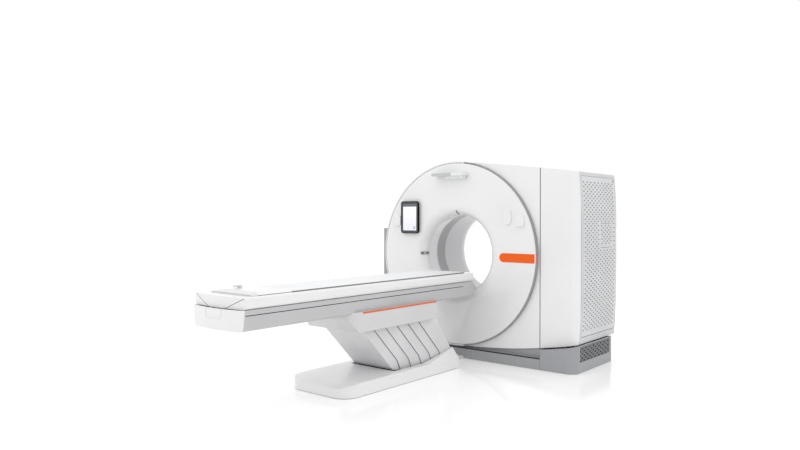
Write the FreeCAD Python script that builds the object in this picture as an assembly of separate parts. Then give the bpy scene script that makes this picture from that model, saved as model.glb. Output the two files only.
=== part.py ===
import FreeCAD, Part
import math
import os

os.makedirs("parts", exist_ok=True)

# A medical ring scanner: a gantry with a patient bore and a spinning measuring ring inside,
# and a patient table on a folding parallelogram lift in front of it.
# Units are millimetres. +X is to the right seen from the table, +Y points away from the table,
# +Z is up. The origin is on the floor under the middle of the gantry base frame.

Vec = FreeCAD.Vector

# ---------------------------------------------------------------- driving dimensions
BORE_RADIUS = 350.0          # clear radius of the patient bore
ISO_HEIGHT = 934.0           # height of the bore axis above the floor
PANEL = 4.0                  # thickness of moulded covers
SEAM = 4.0                   # visible gap between neighbouring covers
LAP = 15.0                   # reach of a hidden lap strip on each side of a seam
FIT = 0.3                    # clearance between bodies that move past each other
RUNNING = 0.05               # radial clearance of a pin in its hole
SEAT = 0.5                   # clearance of a panel against its stop

# gantry body, seen from the front
DRUM_RADIUS = 828.0          # round left side of the body
DISC_RADIUS = 820.0          # white front disc
RING_RADIUS = 830.0          # dark ring around the disc
DISC_FACE_Y = -370.0         # front plane of the disc
BODY_FRONT_Y = -345.0        # front plane of the body behind the disc
BODY_REAR_Y = 450.0
BODY_RIGHT_X = 1153.0        # right side at the top
SIDE_BULGE = 30.0            # how far the right side stands out at mid height
BODY_RIGHT_TOP_Z = 1634.0
BODY_RIGHT_LOW_Z = 228.0
FLARE_RADIUS = 105.0         # rounding from the disc face into the bore
HOOD_X = (-200.0, 148.0)     # slim visor at the top of the disc
HOOD_Z = (1634.0, 1660.0)
HOOD_BOX_X = (-60.0, 128.0)  # the thicker box under the right part of the visor
HOOD_BOX_LOW_Z = 1608.0
FRONT_SPLIT_Y = -150.0       # seam between front covers and top cover
REAR_SPLIT_Y = 330.0         # seam between top cover and rear cover
CABINET_SEAM_X = 840.0       # vertical seam on the front, just outside the ring
SIDE_SEAM_X = 1123.0         # seam between white covers and the grey side frame
SIDE_SEAM_Y = -264.0
REAR_HOLE_RADIUS = 512.0     # opening in the rear cover
REAR_FLARE_RADIUS = 500.0    # rear end of the funnel

# bore lining
WINDOW_FRONT_Y = -165.0
WINDOW_REAR_Y = -35.0
FUNNEL_START_Y = 225.0
LINER = 3.0                  # thickness of the window ring

# base
BASE_LEFT_X = -925.0
BASE_RIGHT_X = 1171.0
BASE_FRONT_Y = -375.0
BASE_REAR_Y = 371.0
PLINTH_TOP = 98.0
PLINTH_CORNER = 80.0
LEDGE_BACK = 45.0            # how far the raised part of the plinth is set back
RAISED_FLUSH_X = 860.0       # right of this the raised part is flush with the front
PLINTH_GAP = 6.0             # shadow gap between plinth and white body
FLOOR_GAP = 3.0              # covers stop this far above the floor
BOLT_SPACING_X = 1840.0
BOLT_SPACING_Y = 600.0
BOLT_CENTRE_X = 120.0
BOLT_HOLE_RADIUS = 11.0

# side door and its holes
DOOR_FRONT_Y = -232.0
DOOR_REAR_Y = 432.0
DOOR_LOW_Z = 284.0
DOOR_TOP_Z = 1600.0
HATCH_FRONT_Y = 100.0
HATCH_REAR_Y = 335.0
HATCH_LOW_Z = 1004.0
HATCH_TOP_Z = 1213.0
SLOT_LENGTH = 28.0
SLOT_WIDTH = 11.0
SLOT_PITCH_Y = 72.0
SLOT_PITCH_Z = 19.0
HOLES_FRONT_Y = -214.0
HOLES_REAR_Y = 414.0
HOLES_LOW_Z = 330.0
HOLES_TOP_Z = 1562.0

# measuring ring inside the gantry
DRUM_FRONT_Y = -4.0
DRUM_REAR_Y = 14.0
DRUM_INNER = 385.0
DRUM_RIM = 702.0
HUB_INNER = 470.0
HUB_OUTER = 500.0
RACE_FRONT_Y = 28.0
RACE_REAR_Y = 68.0
BALL_CIRCLE = 540.0
BALL_RADIUS = 11.0
BALL_COUNT = 48
RACE_HALF = 5.0              # half the gap between the two races
OUTER_RACE_RADIUS = 580.0
STATOR_FRONT_Y = 22.0
STATOR_REAR_Y = 74.0
STATOR_RADIUS = 740.0
FOCUS_HEIGHT = 535.0         # focal spot above the bore axis
DETECTOR_RADIUS = 950.0      # focal spot to detector face
PULLEY_X = 800.0
PULLEY_Z = 470.0
PULLEY_RADIUS = 60.0
MOTOR_SHAFT = 14.0
BELT_THICK = 3.0

# patient table
TROUGH_LOW_Z = 572.0
TROUGH_TOP_Z = 704.5
TROUGH_LOW_HALF = 237.0
TROUGH_TOP_HALF = 253.0
TROUGH_FOOT_Y = -2905.0
TROUGH_HEAD_Y = -385.0
END_CAP_BOW = 26.0
TOP_LOW_Z = 705.0
TOP_HIGH_Z = 780.0
TOP_HALF = 265.0
TOP_LOW_HALF = 240.0
TOP_FOOT_Y = -2926.0
TOP_HEAD_Y = -430.0
MAT_HALF = 210.0
MAT_TOP_Z = 786.0
MAT_FOOT_Y = -2500.0
MAT_HEAD_Y = -520.0
MAT_THICK = 18.0
HOUSING_LOW_Z = 445.0
HOUSING_TOP_Z = 588.0
HOUSING_HALF = 266.0
HOUSING_FOOT_Y = -1990.0
HOUSING_HEAD_Y = -1000.0

# lift
LIFT_STEP = 400.0            # the arms reach this far forward and up at rest
ARM_FRONT_Y = -1330.0
ARM_REAR_Y = -1000.0
ARM_LOW_Z = 130.0
ARM_PIN = 20.0
ARM_HALF_DEPTH = 25.0
ARM_INNER_X = 66.0
ARM_OUTER_X = 98.0
BRACKET_INNER_X = 104.0
BRACKET_OUTER_X = 118.0
LAMELLA_X = 196.0            # inner face of the front lamella
LAMELLA_THICK = 4.0
LAMELLA_STEP = 4.8           # each lamella stands this much further out than the one before
LAMELLA_PIN = 6.0
PIN_ROOM = 2.0               # room between a lamella's foot and the next lamella's pin
LAMELLA_PIN_Z = 125.0
LAMELLA_LOW_Z = 85.0
LAMELLA_TOP_Z = 485.0
KINK_Z = 166.0
KINK_FIRST_Y = -1425.0
KINK_PITCH = 128.0
COLUMN_FOOT_Y = -1470.0      # foot of the sloping front panel
COLUMN_FOOT_Z = 95.0
COLUMN_REAR_Y = -753.0
PEDESTAL_HALF = 300.0
PEDESTAL_FOOT_Y = -2087.0
PEDESTAL_HEAD_Y = -735.0
PEDESTAL_TOP = 95.0
PEDESTAL_EDGE = 66.0
PEDESTAL_RISE = 168.0
PEDESTAL_SHOULDER_Z = 85.0   # above this the sides lean in towards the lift column
PEDESTAL_LEAN = 0.78         # inwards for each millimetre of height


# ---------------------------------------------------------------- small helpers
def box(x0, x1, y0, y1, z0, z1):
    """Box between two corners."""
    return Part.makeBox(x1 - x0, y1 - y0, z1 - z0, Vec(x0, y0, z0))


def wire_of(edges):
    return Part.Wire(Part.__sortEdges__(edges))


def polygon(points):
    return Part.makePolygon(points + [points[0]])


def prism_x(points, x0, x1):
    """Extrude a polygon of (y, z) points along X."""
    face = Part.Face(polygon([Vec(x0, y, z) for y, z in points]))
    return face.extrude(Vec(x1 - x0, 0, 0))


def prism_y(points, y0, y1):
    """Extrude a polygon of (x, z) points along Y."""
    face = Part.Face(polygon([Vec(x, y0, z) for x, z in points]))
    return face.extrude(Vec(0, y1 - y0, 0))


def cylinder(axis, radius, start, end, a=0.0, b=0.0):
    """Cylinder along "x", "y" or "z"; a and b are the two other coordinates of its axis."""
    base = {"x": Vec(start, a, b), "y": Vec(a, start, b), "z": Vec(a, b, start)}[axis]
    way = {"x": Vec(1, 0, 0), "y": Vec(0, 1, 0), "z": Vec(0, 0, 1)}[axis]
    return Part.makeCylinder(radius, end - start, base, way)


def ring(r_in, r_out, y0, y1):
    """Plain ring about the bore axis."""
    outer = cylinder("y", r_out, y0, y1, 0, ISO_HEIGHT)
    return outer.cut(cylinder("y", r_in, y0 - 1, y1 + 1, 0, ISO_HEIGHT))


def turned(edges):
    """Turn a closed profile of edges in the X-Y plane, where X is the radius, about the bore axis."""
    wire = wire_of(edges)
    wire.translate(Vec(0, 0, ISO_HEIGHT))
    return Part.Face(wire).revolve(Vec(0, 0, ISO_HEIGHT), Vec(0, 1, 0), 360)


def line(p, q):
    return Part.makeLine(Vec(*p), Vec(*q))


def arc(p, q, r):
    return Part.Arc(Vec(*p), Vec(*q), Vec(*r)).toShape()


def rounded_rect(x0, x1, y0, y1, radii):
    """Wire in the X-Y plane; radii are for the corners (x0,y0), (x1,y0), (x1,y1), (x0,y1)."""
    corners = [(x0, y0, 1, 1), (x1, y0, -1, 1), (x1, y1, -1, -1), (x0, y1, 1, -1)]
    edges = []
    ends = []
    for index, (x, y, sx, sy) in enumerate(corners):
        r = radii[index]
        c = math.sqrt(0.5)
        along_x = (x + sx * r, y, 0)
        along_y = (x, y + sy * r, 0)
        mid = (x + sx * r * (1 - c), y + sy * r * (1 - c), 0)
        first, last = (along_y, along_x) if index % 2 == 0 else (along_x, along_y)
        if r > 0:
            edges.append(arc(first, mid, last))
        ends.append((first, last))
    for index in range(4):
        edges.append(line(ends[index][1], ends[(index + 1) % 4][0]))
    return wire_of(edges)


def rounded_block(x0, x1, y0, y1, z0, z1, radii):
    wire = rounded_rect(x0, x1, y0, y1, radii)
    wire.translate(Vec(0, 0, z0))
    return Part.Face(wire).extrude(Vec(0, 0, z1 - z0))


def rounded_plate_y(x0, x1, z0, z1, y0, y1, radius):
    """Plate lying in X-Z with four equal rounded corners, thick along Y."""
    wire = rounded_rect(x0, x1, -z1, -z0, [radius] * 4)
    face = Part.Face(wire)
    face.rotate(Vec(0, 0, 0), Vec(1, 0, 0), -90)
    face.translate(Vec(0, y0, 0))
    return face.extrude(Vec(0, y1 - y0, 0))


def rounded_plate_x(y0, y1, z0, z1, x0, x1, radius):
    """Plate lying in Y-Z with four equal rounded corners, thick along X."""
    plate = rounded_plate_y(y0, y1, z0, z1, -x1, -x0, radius)
    plate.rotate(Vec(0, 0, 0), Vec(0, 0, 1), 90)
    return plate


def fuse(shapes):
    first = shapes[0]
    return first.multiFuse(shapes[1:]).removeSplitter()


def mirrored(shape):
    """Copy on the other side of the table's middle plane."""
    return shape.mirror(Vec(0, 0, 0), Vec(1, 0, 0))


def save(name, shape):
    """Write one node, and say how many solids it has."""
    solids = [s for s in shape.Solids if s.Volume > 1.0]
    out = solids[0] if len(solids) == 1 else Part.makeCompound(solids)
    out.exportStep(f"parts/{name}.step")
    print(name, len(solids), round(out.Volume / 1e6, 3), out.isValid())
    return out


# ---------------------------------------------------------------- gantry body form
def body_outline(d):
    """Front view of the body, all sides moved in by d."""
    r = DRUM_RADIUS - d
    top = math.radians(7.0)
    low = math.asin(60.0 / DRUM_RADIUS)
    t0 = (r * math.sin(top), 0, ISO_HEIGHT + r * math.cos(top))
    b0 = (r * math.sin(low), 0, ISO_HEIGHT - r * math.cos(low))
    corner_top = (BODY_RIGHT_X - d, 0, BODY_RIGHT_TOP_Z - d)
    corner_low = (BODY_RIGHT_X + 2 - d, 0, BODY_RIGHT_LOW_Z + d)
    mid_side = (BODY_RIGHT_X + SIDE_BULGE - d, 0, ISO_HEIGHT)
    edges = [
        arc(b0, (-r, 0, ISO_HEIGHT), t0),
        arc(t0, (700, 0, 1692 - d), corner_top),
        arc(corner_top, mid_side, corner_low),
        arc(corner_low, (700, 0, 154 + d), b0),
    ]
    return wire_of(edges)


def body_plan(d):
    """Plan view of the body, all sides moved in by d."""
    front = BODY_FRONT_Y + d
    rear = BODY_REAR_Y - d
    far = BODY_RIGHT_X + SIDE_BULGE + 20
    left = -DRUM_RADIUS - 40
    edges = [
        line((left, front, 0), (500, front, 0)),
        arc((500, front, 0), (830, front + 11, 0), (1105 - d, front + 38, 0)),
        arc((1105 - d, front + 38, 0), (1160 - d, front + 68, 0), (far, front + 160, 0)),
        line((far, front + 160, 0), (far, rear - 70, 0)),
        arc((far, rear - 70, 0), (far - 26, rear - 15, 0), (far - 80, rear, 0)),
        line((far - 80, rear, 0), (left, rear, 0)),
        line((left, rear, 0), (left, front, 0)),
    ]
    return wire_of(edges)


_BODIES = {}


def body(d):
    """The body as a solid block, all faces moved in by d."""
    if d not in _BODIES:
        outline = body_outline(d)
        outline.translate(Vec(0, BODY_FRONT_Y - 20, 0))
        front = Part.Face(outline).extrude(Vec(0, BODY_REAR_Y - BODY_FRONT_Y + 40, 0))
        plan = Part.Face(body_plan(d)).extrude(Vec(0, 0, 2000))
        _BODIES[d] = front.common(plan)
    return _BODIES[d]


def skin(d0, d1):
    """Everything between two depths under the surface of the body."""
    return body(d0).cut(body(d1))


FAR = 3000.0


def covers():
    """White covers, the grey side frame and the lap strips behind their seams."""
    wall = skin(0, PANEL)
    under = skin(PANEL, 2 * PANEL)
    relief = skin(PANEL, PANEL + FIT)
    half = SEAM / 2
    # the underside is open over the base frame and the stator legs
    floor_cut = box(-720, 1086, BODY_FRONT_Y + LEDGE_BACK + 8, BODY_REAR_Y - 2 * PANEL, 0, 520)
    floor_cut = floor_cut.cut(box(0, 1200, -400, 500, 260, 521))
    side_wide = box(SIDE_SEAM_X - half, FAR, SIDE_SEAM_Y - half, FAR, 0, FAR)
    side_tight = box(SIDE_SEAM_X + half, FAR, SIDE_SEAM_Y + half, FAR, 0, FAR)

    disc_hole = cylinder("y", DISC_RADIUS - 30, -400, FRONT_SPLIT_Y - 40, 0, ISO_HEIGHT)
    front_zone = box(-FAR, CABINET_SEAM_X - half, -FAR, FRONT_SPLIT_Y - half, 0, FAR)
    surround = wall.common(front_zone).cut(disc_hole).cut(floor_cut)
    seam_lap = box(CABINET_SEAM_X - LAP, CABINET_SEAM_X + LAP, -FAR, FRONT_SPLIT_Y - half, 0, FAR)
    rear_lap = box(-FAR, CABINET_SEAM_X - LAP, FRONT_SPLIT_Y - LAP, FRONT_SPLIT_Y + LAP, 1170, FAR)
    laps = under.common(fuse([seam_lap, rear_lap])).cut(floor_cut)
    beyond = [box(CABINET_SEAM_X + half - 1, FAR, -FAR, FAR, 0, FAR),
              box(-FAR, FAR, FRONT_SPLIT_Y + half - 1, FAR, 0, FAR)]
    laps = laps.cut(relief.common(fuse(beyond)))
    surround = fuse([surround, laps])

    cab_zone = box(CABINET_SEAM_X + half, FAR, -FAR, FRONT_SPLIT_Y - half, 0, FAR)
    cabinet = wall.common(cab_zone).cut(side_wide).cut(floor_cut)
    cab_lap = box(CABINET_SEAM_X + LAP + 5, SIDE_SEAM_X - LAP - 4, FRONT_SPLIT_Y - LAP,
                  FRONT_SPLIT_Y + LAP, 1170, FAR)
    cab_strip = under.common(cab_lap)
    cab_strip = cab_strip.cut(relief.common(box(-FAR, FAR, FRONT_SPLIT_Y + half - 1, FAR, 0, FAR)))
    cabinet = fuse([cabinet, cab_strip])

    top_zone = box(-FAR, SIDE_SEAM_X - half, FRONT_SPLIT_Y + half, REAR_SPLIT_Y - half, 1160, FAR)
    top = wall.common(top_zone)
    top_lap = box(-FAR, SIDE_SEAM_X - LAP - 4, REAR_SPLIT_Y - LAP, REAR_SPLIT_Y + LAP, 1170, FAR)
    top_strip = under.common(top_lap)
    top_strip = top_strip.cut(relief.common(box(-FAR, FAR, REAR_SPLIT_Y + half - 1, FAR, 0, FAR)))
    top = fuse([top, top_strip])

    rear_zone = box(-FAR, SIDE_SEAM_X - half, REAR_SPLIT_Y + half, FAR, 0, FAR)
    rear_hole = cylinder("y", REAR_HOLE_RADIUS, REAR_SPLIT_Y, FAR, 0, ISO_HEIGHT)
    rear = wall.common(rear_zone).cut(rear_hole).cut(floor_cut)

    door_gap = rounded_plate_x(DOOR_FRONT_Y - SEAM, DOOR_REAR_Y + SEAM, DOOR_LOW_Z - SEAM,
                               DOOR_TOP_Z + SEAM, 1000, 1300, 16)
    side = wall.common(side_tight).cut(door_gap).cut(floor_cut)
    lap_zone = box(SIDE_SEAM_X - LAP, FAR, SIDE_SEAM_Y - LAP, FAR, 0, FAR)
    lap_core = box(SIDE_SEAM_X + LAP, FAR, SIDE_SEAM_Y + LAP, BODY_REAR_Y - 2 * LAP, 0, 1600)
    border = under.common(lap_zone).cut(lap_core).cut(floor_cut)
    stop_in = rounded_plate_x(DOOR_FRONT_Y + 12, DOOR_REAR_Y - 12, DOOR_LOW_Z + 12,
                              DOOR_TOP_Z - 12, 1000, 1300, 10)
    stop_out = rounded_plate_x(DOOR_FRONT_Y - 16, DOOR_REAR_Y + 10, DOOR_LOW_Z - 16,
                               DOOR_TOP_Z + 16, 1000, 1300, 16)
    stop = skin(PANEL, 2 * PANEL + SEAT).common(stop_out.cut(door_gap))
    stop = fuse([stop, skin(PANEL + SEAT, 2 * PANEL + SEAT).common(stop_out.cut(stop_in))])
    stop = stop.cut(box(1000, 1300, DOOR_FRONT_Y - 30, DOOR_REAR_Y + 30, 0, DOOR_LOW_Z + 34))
    inside = box(SIDE_SEAM_X + half - 1, FAR, SIDE_SEAM_Y + half - 1, FAR, 0, FAR)
    border = border.cut(relief.cut(inside)).cut(door_gap)
    side = fuse([side, border, stop])
    return surround, cabinet, top, rear, side


def slot_face_x(y, z, x):
    """Closed wire of one slot, rounded at both ends, in the plane at x."""
    r = SLOT_WIDTH / 2
    h = SLOT_LENGTH / 2 - r
    edges = [
        line((x, y - h, z + r), (x, y + h, z + r)),
        arc((x, y + h, z + r), (x, y + h + r, z), (x, y + h, z - r)),
        line((x, y + h, z - r), (x, y - h, z - r)),
        arc((x, y - h, z - r), (x, y - h - r, z), (x, y - h, z + r)),
    ]
    return wire_of(edges)


def slot_places(y0, y1, z0, z1):
    """Centres of a staggered pattern of slots that fits between the given limits."""
    places = []
    rows = int((z1 - z0 - SLOT_WIDTH) / SLOT_PITCH_Z) + 1
    for row in range(rows):
        z = z0 + SLOT_WIDTH / 2 + row * SLOT_PITCH_Z
        y = y0 + SLOT_LENGTH / 2 + (SLOT_PITCH_Y / 2 if row % 2 else 0)
        while y + SLOT_LENGTH / 2 <= y1:
            places.append((y, z))
            y += SLOT_PITCH_Y
    return places


def perforated(outer_wire, places, x0, x1):
    """Extrude an outline in the plane at x0 with a slot at each place."""
    wires = [outer_wire] + [slot_face_x(y, z, x0) for y, z in places]
    face = Part.makeFace(wires, "Part::FaceMakerBullseye")
    return face.extrude(Vec(x1 - x0, 0, 0))


def plate_wire_x(y0, y1, z0, z1, x, radius):
    """Rounded rectangle in the plane at x."""
    wire = rounded_rect(y0, y1, -z1, -z0, [radius] * 4)
    wire.rotate(Vec(0, 0, 0), Vec(1, 0, 0), -90)
    wire.rotate(Vec(0, 0, 0), Vec(0, 0, 1), 90)
    wire.translate(Vec(x, 0, 0))
    return wire


DOOR_PIN = 4.0               # the door tilts outwards on two pins at its foot
DOOR_PIVOT_Z = DOOR_LOW_Z + 10.0
DOOR_PIVOT_DEPTH = 8.0       # pins this far inside the outer surface
HATCH_PIN = 1.2
HATCH_GAP = 3.0
LOCK_RADIUS = 12.0
LOCK_Y = 406.0
LOCK_Z = 1578.0


def clear_of(y, z, limits):
    """True where a slot at (y, z) keeps off the border of a rectangle."""
    y0, y1, z0, z1 = limits
    dy = SLOT_LENGTH / 2 + 3
    dz = SLOT_WIDTH / 2 + 3
    near_y = y0 - dy < y < y1 + dy
    near_z = z0 - dz < z < z1 + dz
    inside = y0 + dy <= y <= y1 - dy and z0 + dz <= z <= z1 - dz
    return inside or not (near_y and near_z)


def door_and_hatch():
    """Perforated side door with the lugs at its foot, and the small perforated hatch in it."""
    places = slot_places(HOLES_FRONT_Y, HOLES_REAR_Y, HOLES_LOW_Z, HOLES_TOP_Z)
    hatch_edge = (HATCH_FRONT_Y, HATCH_REAR_Y, HATCH_LOW_Z, HATCH_TOP_Z)
    lock_edge = (LOCK_Y - LOCK_RADIUS, LOCK_Y + LOCK_RADIUS, LOCK_Z - LOCK_RADIUS, LOCK_Z + LOCK_RADIUS)
    pivot_z = HATCH_LOW_Z + HATCH_GAP + 3.5

    def usable(y, z):
        near_pins = abs(z - pivot_z) < SLOT_WIDTH / 2 + 4 and HATCH_FRONT_Y - 40 < y < HATCH_REAR_Y + 40
        return clear_of(y, z, hatch_edge) and clear_of(y, z, lock_edge) and not near_pins

    places = [p for p in places if usable(*p)]
    inside = [p for p in places if HATCH_FRONT_Y < p[0] < HATCH_REAR_Y and HATCH_LOW_Z < p[1] < HATCH_TOP_Z]
    outside = [p for p in places if p not in inside]
    wall = skin(0, PANEL).common(box(1100, FAR, DOOR_FRONT_Y - 5, DOOR_REAR_Y + 5, 200, 1700))
    slab = perforated(plate_wire_x(DOOR_FRONT_Y, DOOR_REAR_Y, DOOR_LOW_Z, DOOR_TOP_Z, 1120, 12),
                      outside, 1120, 1220)
    slab = slab.cut(box(1100, 1250, HATCH_FRONT_Y, HATCH_REAR_Y, HATCH_LOW_Z, HATCH_TOP_Z))
    slab = slab.cut(cylinder("x", LOCK_RADIUS + FIT, 1100, 1250, LOCK_Y, LOCK_Z))
    door = slab.common(wall)

    g = HATCH_GAP
    hatch_slab = perforated(plate_wire_x(HATCH_FRONT_Y + g, HATCH_REAR_Y - g, HATCH_LOW_Z + g,
                                         HATCH_TOP_Z - g, 1120, 2), inside, 1120, 1220)
    hatch = hatch_slab.common(wall)
    pin_x = side_surface_x(pivot_z) - PANEL / 2
    bar = cylinder("y", HATCH_PIN, HATCH_FRONT_Y - 8, HATCH_REAR_Y + 8, pin_x, pivot_z)
    middle = box(1100, 1250, HATCH_FRONT_Y + g + 5, HATCH_REAR_Y - g - 5, HATCH_LOW_Z, HATCH_TOP_Z)
    hatch = fuse([hatch, bar.cut(middle)])
    door = door.cut(cylinder("y", HATCH_PIN + RUNNING, HATCH_FRONT_Y - 9, HATCH_REAR_Y + 9, pin_x, pivot_z))

    lugs = []
    x, z = door_pivot()
    for y0, y1 in ((DOOR_FRONT_Y + 2, DOOR_FRONT_Y + 16), (DOOR_REAR_Y - 16, DOOR_REAR_Y - 2)):
        lug = fuse([cylinder("y", DOOR_PIN + 4, y0, y1, x, z), box(x, 1300, y0, y1, z - 8, z + 8)])
        lugs.append(lug.common(body(PANEL - 1)))
    door = fuse([door] + lugs)
    return door.cut(cylinder("y", DOOR_PIN + RUNNING, -FAR, FAR, x, z)), hatch


def door_pivot():
    """X and Z of the side door's pivot line."""
    return side_surface_x(DOOR_PIVOT_Z) - DOOR_PIVOT_DEPTH, DOOR_PIVOT_Z


def side_surface_x(z):
    """Outer surface of the right side at height z, from the arc through its three points."""
    p = Vec(BODY_RIGHT_X, 0, BODY_RIGHT_TOP_Z)
    q = Vec(BODY_RIGHT_X + SIDE_BULGE, 0, ISO_HEIGHT)
    r = Vec(BODY_RIGHT_X + 2, 0, BODY_RIGHT_LOW_Z)
    circle = Part.Circle(p, q, r)
    return circle.Center.x + math.sqrt(circle.Radius ** 2 - (z - circle.Center.z) ** 2)


def hinge_brackets():
    """Blocks with pins on the side frame that carry the foot of the door."""
    x, z = door_pivot()
    out = []
    for y0, y1, end in ((DOOR_FRONT_Y - 20, DOOR_FRONT_Y - 5, DOOR_FRONT_Y + 18),
                        (DOOR_REAR_Y + 5, BODY_REAR_Y, DOOR_REAR_Y - 18)):
        a, b = sorted(((y0 + y1) / 2, end))
        block = box(x - 9, 1300, y0, y1, z - 9, z + 9).common(body(PANEL - 1))
        out.append(fuse([block, cylinder("y", DOOR_PIN, a, b, x, z)]))
    return out


def door_lock():
    """Quarter-turn lock in the door's upper rear corner."""
    x = side_surface_x(LOCK_Z)
    head = cylinder("x", LOCK_RADIUS, x - PANEL, x - 0.5, LOCK_Y, LOCK_Z)
    stem = cylinder("x", 6, x - 18, x - PANEL, LOCK_Y, LOCK_Z)
    cam = box(x - 18, x - 13, LOCK_Y - 34, LOCK_Y + 7, LOCK_Z - 7, LOCK_Z + 7)
    slot = box(x - 1.5, x + 1, LOCK_Y - 8, LOCK_Y + 8, LOCK_Z - 1, LOCK_Z + 1)
    return fuse([head, stem, cam]).cut(slot)


def left_side_cover():
    """Low grey box beside the round drum on the left."""
    x0, y0, y1, z0, z1 = -921.0, -300.0, 440.0, PLINTH_TOP + PLINTH_GAP, 1155.0
    inner_x = -560.0
    outer = rounded_block(x0, inner_x, y0, y1, z0, z1, [25, 0, 0, 25])
    p = PANEL
    hollow = rounded_block(x0 + p, inner_x + 1, y0 + p, y1 - p, z0 - 1, z1 - p, [21, 0, 0, 21])
    drum = cylinder("y", DRUM_RADIUS + SEAT, -500, 600, 0, ISO_HEIGHT)
    return outer.cut(hollow).cut(drum)


# ---------------------------------------------------------------- disc, bore lining and details
def flare_edges(offset):
    """Profile of the disc's visible face moved back by offset, from the rim into the bore."""
    f = FLARE_RADIUS
    rim = 14.0 - offset
    centre_r = BORE_RADIUS + f
    throat_y = DISC_FACE_Y + f
    k = math.sqrt(0.5)
    ro = DISC_RADIUS - offset
    face = DISC_FACE_Y + offset
    fr = f - offset
    corner = (ro - rim, face + rim)
    return [
        line((ro, BODY_FRONT_Y, 0), (ro, face + rim, 0)),
        arc((ro, face + rim, 0), (corner[0] + rim * k, corner[1] - rim * k, 0), (ro - rim, face, 0)),
        line((ro - rim, face, 0), (centre_r, face, 0)),
        arc((centre_r, face, 0), (centre_r - fr * k, throat_y - fr * k, 0),
            (centre_r - fr, throat_y, 0)),
        line((centre_r - fr, throat_y, 0), (centre_r - fr, WINDOW_FRONT_Y, 0)),
    ]


def front_disc():
    outer = flare_edges(0)
    inner = flare_edges(PANEL)
    ends = [
        line((DISC_RADIUS, BODY_FRONT_Y, 0), (DISC_RADIUS - PANEL, BODY_FRONT_Y, 0)),
        line((BORE_RADIUS, WINDOW_FRONT_Y, 0), (BORE_RADIUS + PANEL, WINDOW_FRONT_Y, 0)),
    ]
    return turned(outer + inner + ends)


def flare_band(start, end):
    """Layer over the visible face of the flare, between two distances from it."""
    centre_r = BORE_RADIUS + FLARE_RADIUS
    throat_y = DISC_FACE_Y + FLARE_RADIUS
    k = math.sqrt(0.5)
    f = FLARE_RADIUS + start
    far = FLARE_RADIUS + end
    edges = [
        arc((centre_r, throat_y - f, 0), (centre_r - f * k, throat_y - f * k, 0), (centre_r - f, throat_y, 0)),
        line((centre_r - f, throat_y, 0), (centre_r - far, throat_y, 0)),
        arc((centre_r - far, throat_y, 0), (centre_r - far * k, throat_y - far * k, 0),
            (centre_r, throat_y - far, 0)),
        line((centre_r, throat_y - far, 0), (centre_r, throat_y - f, 0)),
    ]
    return turned(edges)


def rear_funnel():
    """Bore lining behind the window ring, widening to the rear cover."""
    dr = REAR_FLARE_RADIUS - BORE_RADIUS
    dy = BODY_REAR_Y - FUNNEL_START_Y
    radius = (dr * dr + dy * dy) / (2 * dr)
    centre = (BORE_RADIUS + radius, FUNNEL_START_Y)
    p = PANEL

    def curve(r, y_end):
        full = math.asin((y_end - FUNNEL_START_Y) / r)
        return [(centre[0] - r * math.cos(a), centre[1] + r * math.sin(a), 0) for a in (0, full / 2, full)]

    vis = curve(radius, BODY_REAR_Y)
    back = curve(radius - p, BODY_REAR_Y - p)
    rim_r = REAR_HOLE_RADIUS - FIT
    edges = [
        line((BORE_RADIUS, WINDOW_REAR_Y, 0), vis[0]),
        arc(*vis),
        line(vis[2], (rim_r, BODY_REAR_Y, 0)),
        line((rim_r, BODY_REAR_Y, 0), (rim_r, BODY_REAR_Y - p, 0)),
        line((rim_r, BODY_REAR_Y - p, 0), back[2]),
        arc(*back),
        line(back[0], (BORE_RADIUS + p, WINDOW_REAR_Y, 0)),
        line((BORE_RADIUS + p, WINDOW_REAR_Y, 0), (BORE_RADIUS, WINDOW_REAR_Y, 0)),
    ]
    return turned(edges)


LASER_WINDOWS = ((90.0, 22.0, 90.0), (2.0, 52.0, 68.0))   # angle, and the two ends behind the disc face
LASER_WIDTH = 15.0


def laser_boxes():
    """Blocks that mark where the light windows sit in the flare: a long one on top, a short one beside."""
    r = BORE_RADIUS + 13.0
    blocks = []
    for angle, front, rear in LASER_WINDOWS:
        block = box(r - 30, r + 45, DISC_FACE_Y + front, DISC_FACE_Y + rear, -LASER_WIDTH / 2,
                    LASER_WIDTH / 2)
        block.rotate(Vec(0, 0, 0), Vec(0, 1, 0), -angle)
        block.translate(Vec(0, 0, ISO_HEIGHT))
        blocks.append(block)
    return blocks


CONTROL_X = -371.0
CONTROL_Z = 926.0
CONTROL_HALF_LENGTH = 44.0
CONTROL_HALF_HEIGHT = 17.0
BUTTON_HALF_LENGTH = 14.0
BUTTON_HALF_HEIGHT = 9.0
BUTTON_GAP = 0.4             # between a button and its hole
BUTTON_PITCH = 46.0
BUTTON_TRAVEL = 1.0


def control_frame():
    """Placement on the flare: local x runs along the flare outwards, local z points off it."""
    f = FLARE_RADIUS
    dx, dz = CONTROL_X, CONTROL_Z - ISO_HEIGHT
    radial = math.hypot(dx, dz)
    slope = math.acos((BORE_RADIUS + f - radial) / f)
    out = Vec(dx / radial, 0, dz / radial)
    y = DISC_FACE_Y + f - f * math.sin(slope)
    normal = out.multiply(-math.cos(slope)).add(Vec(0, -math.sin(slope), 0))
    out = Vec(dx / radial, 0, dz / radial)
    along = out.multiply(math.sin(slope)).add(Vec(0, -math.cos(slope), 0))
    across = normal.cross(along)
    m = FreeCAD.Matrix(along.x, across.x, normal.x, CONTROL_X, along.y, across.y, normal.y, y,
                       along.z, across.z, normal.z, CONTROL_Z, 0, 0, 0, 1)
    return FreeCAD.Placement(m)


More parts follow.
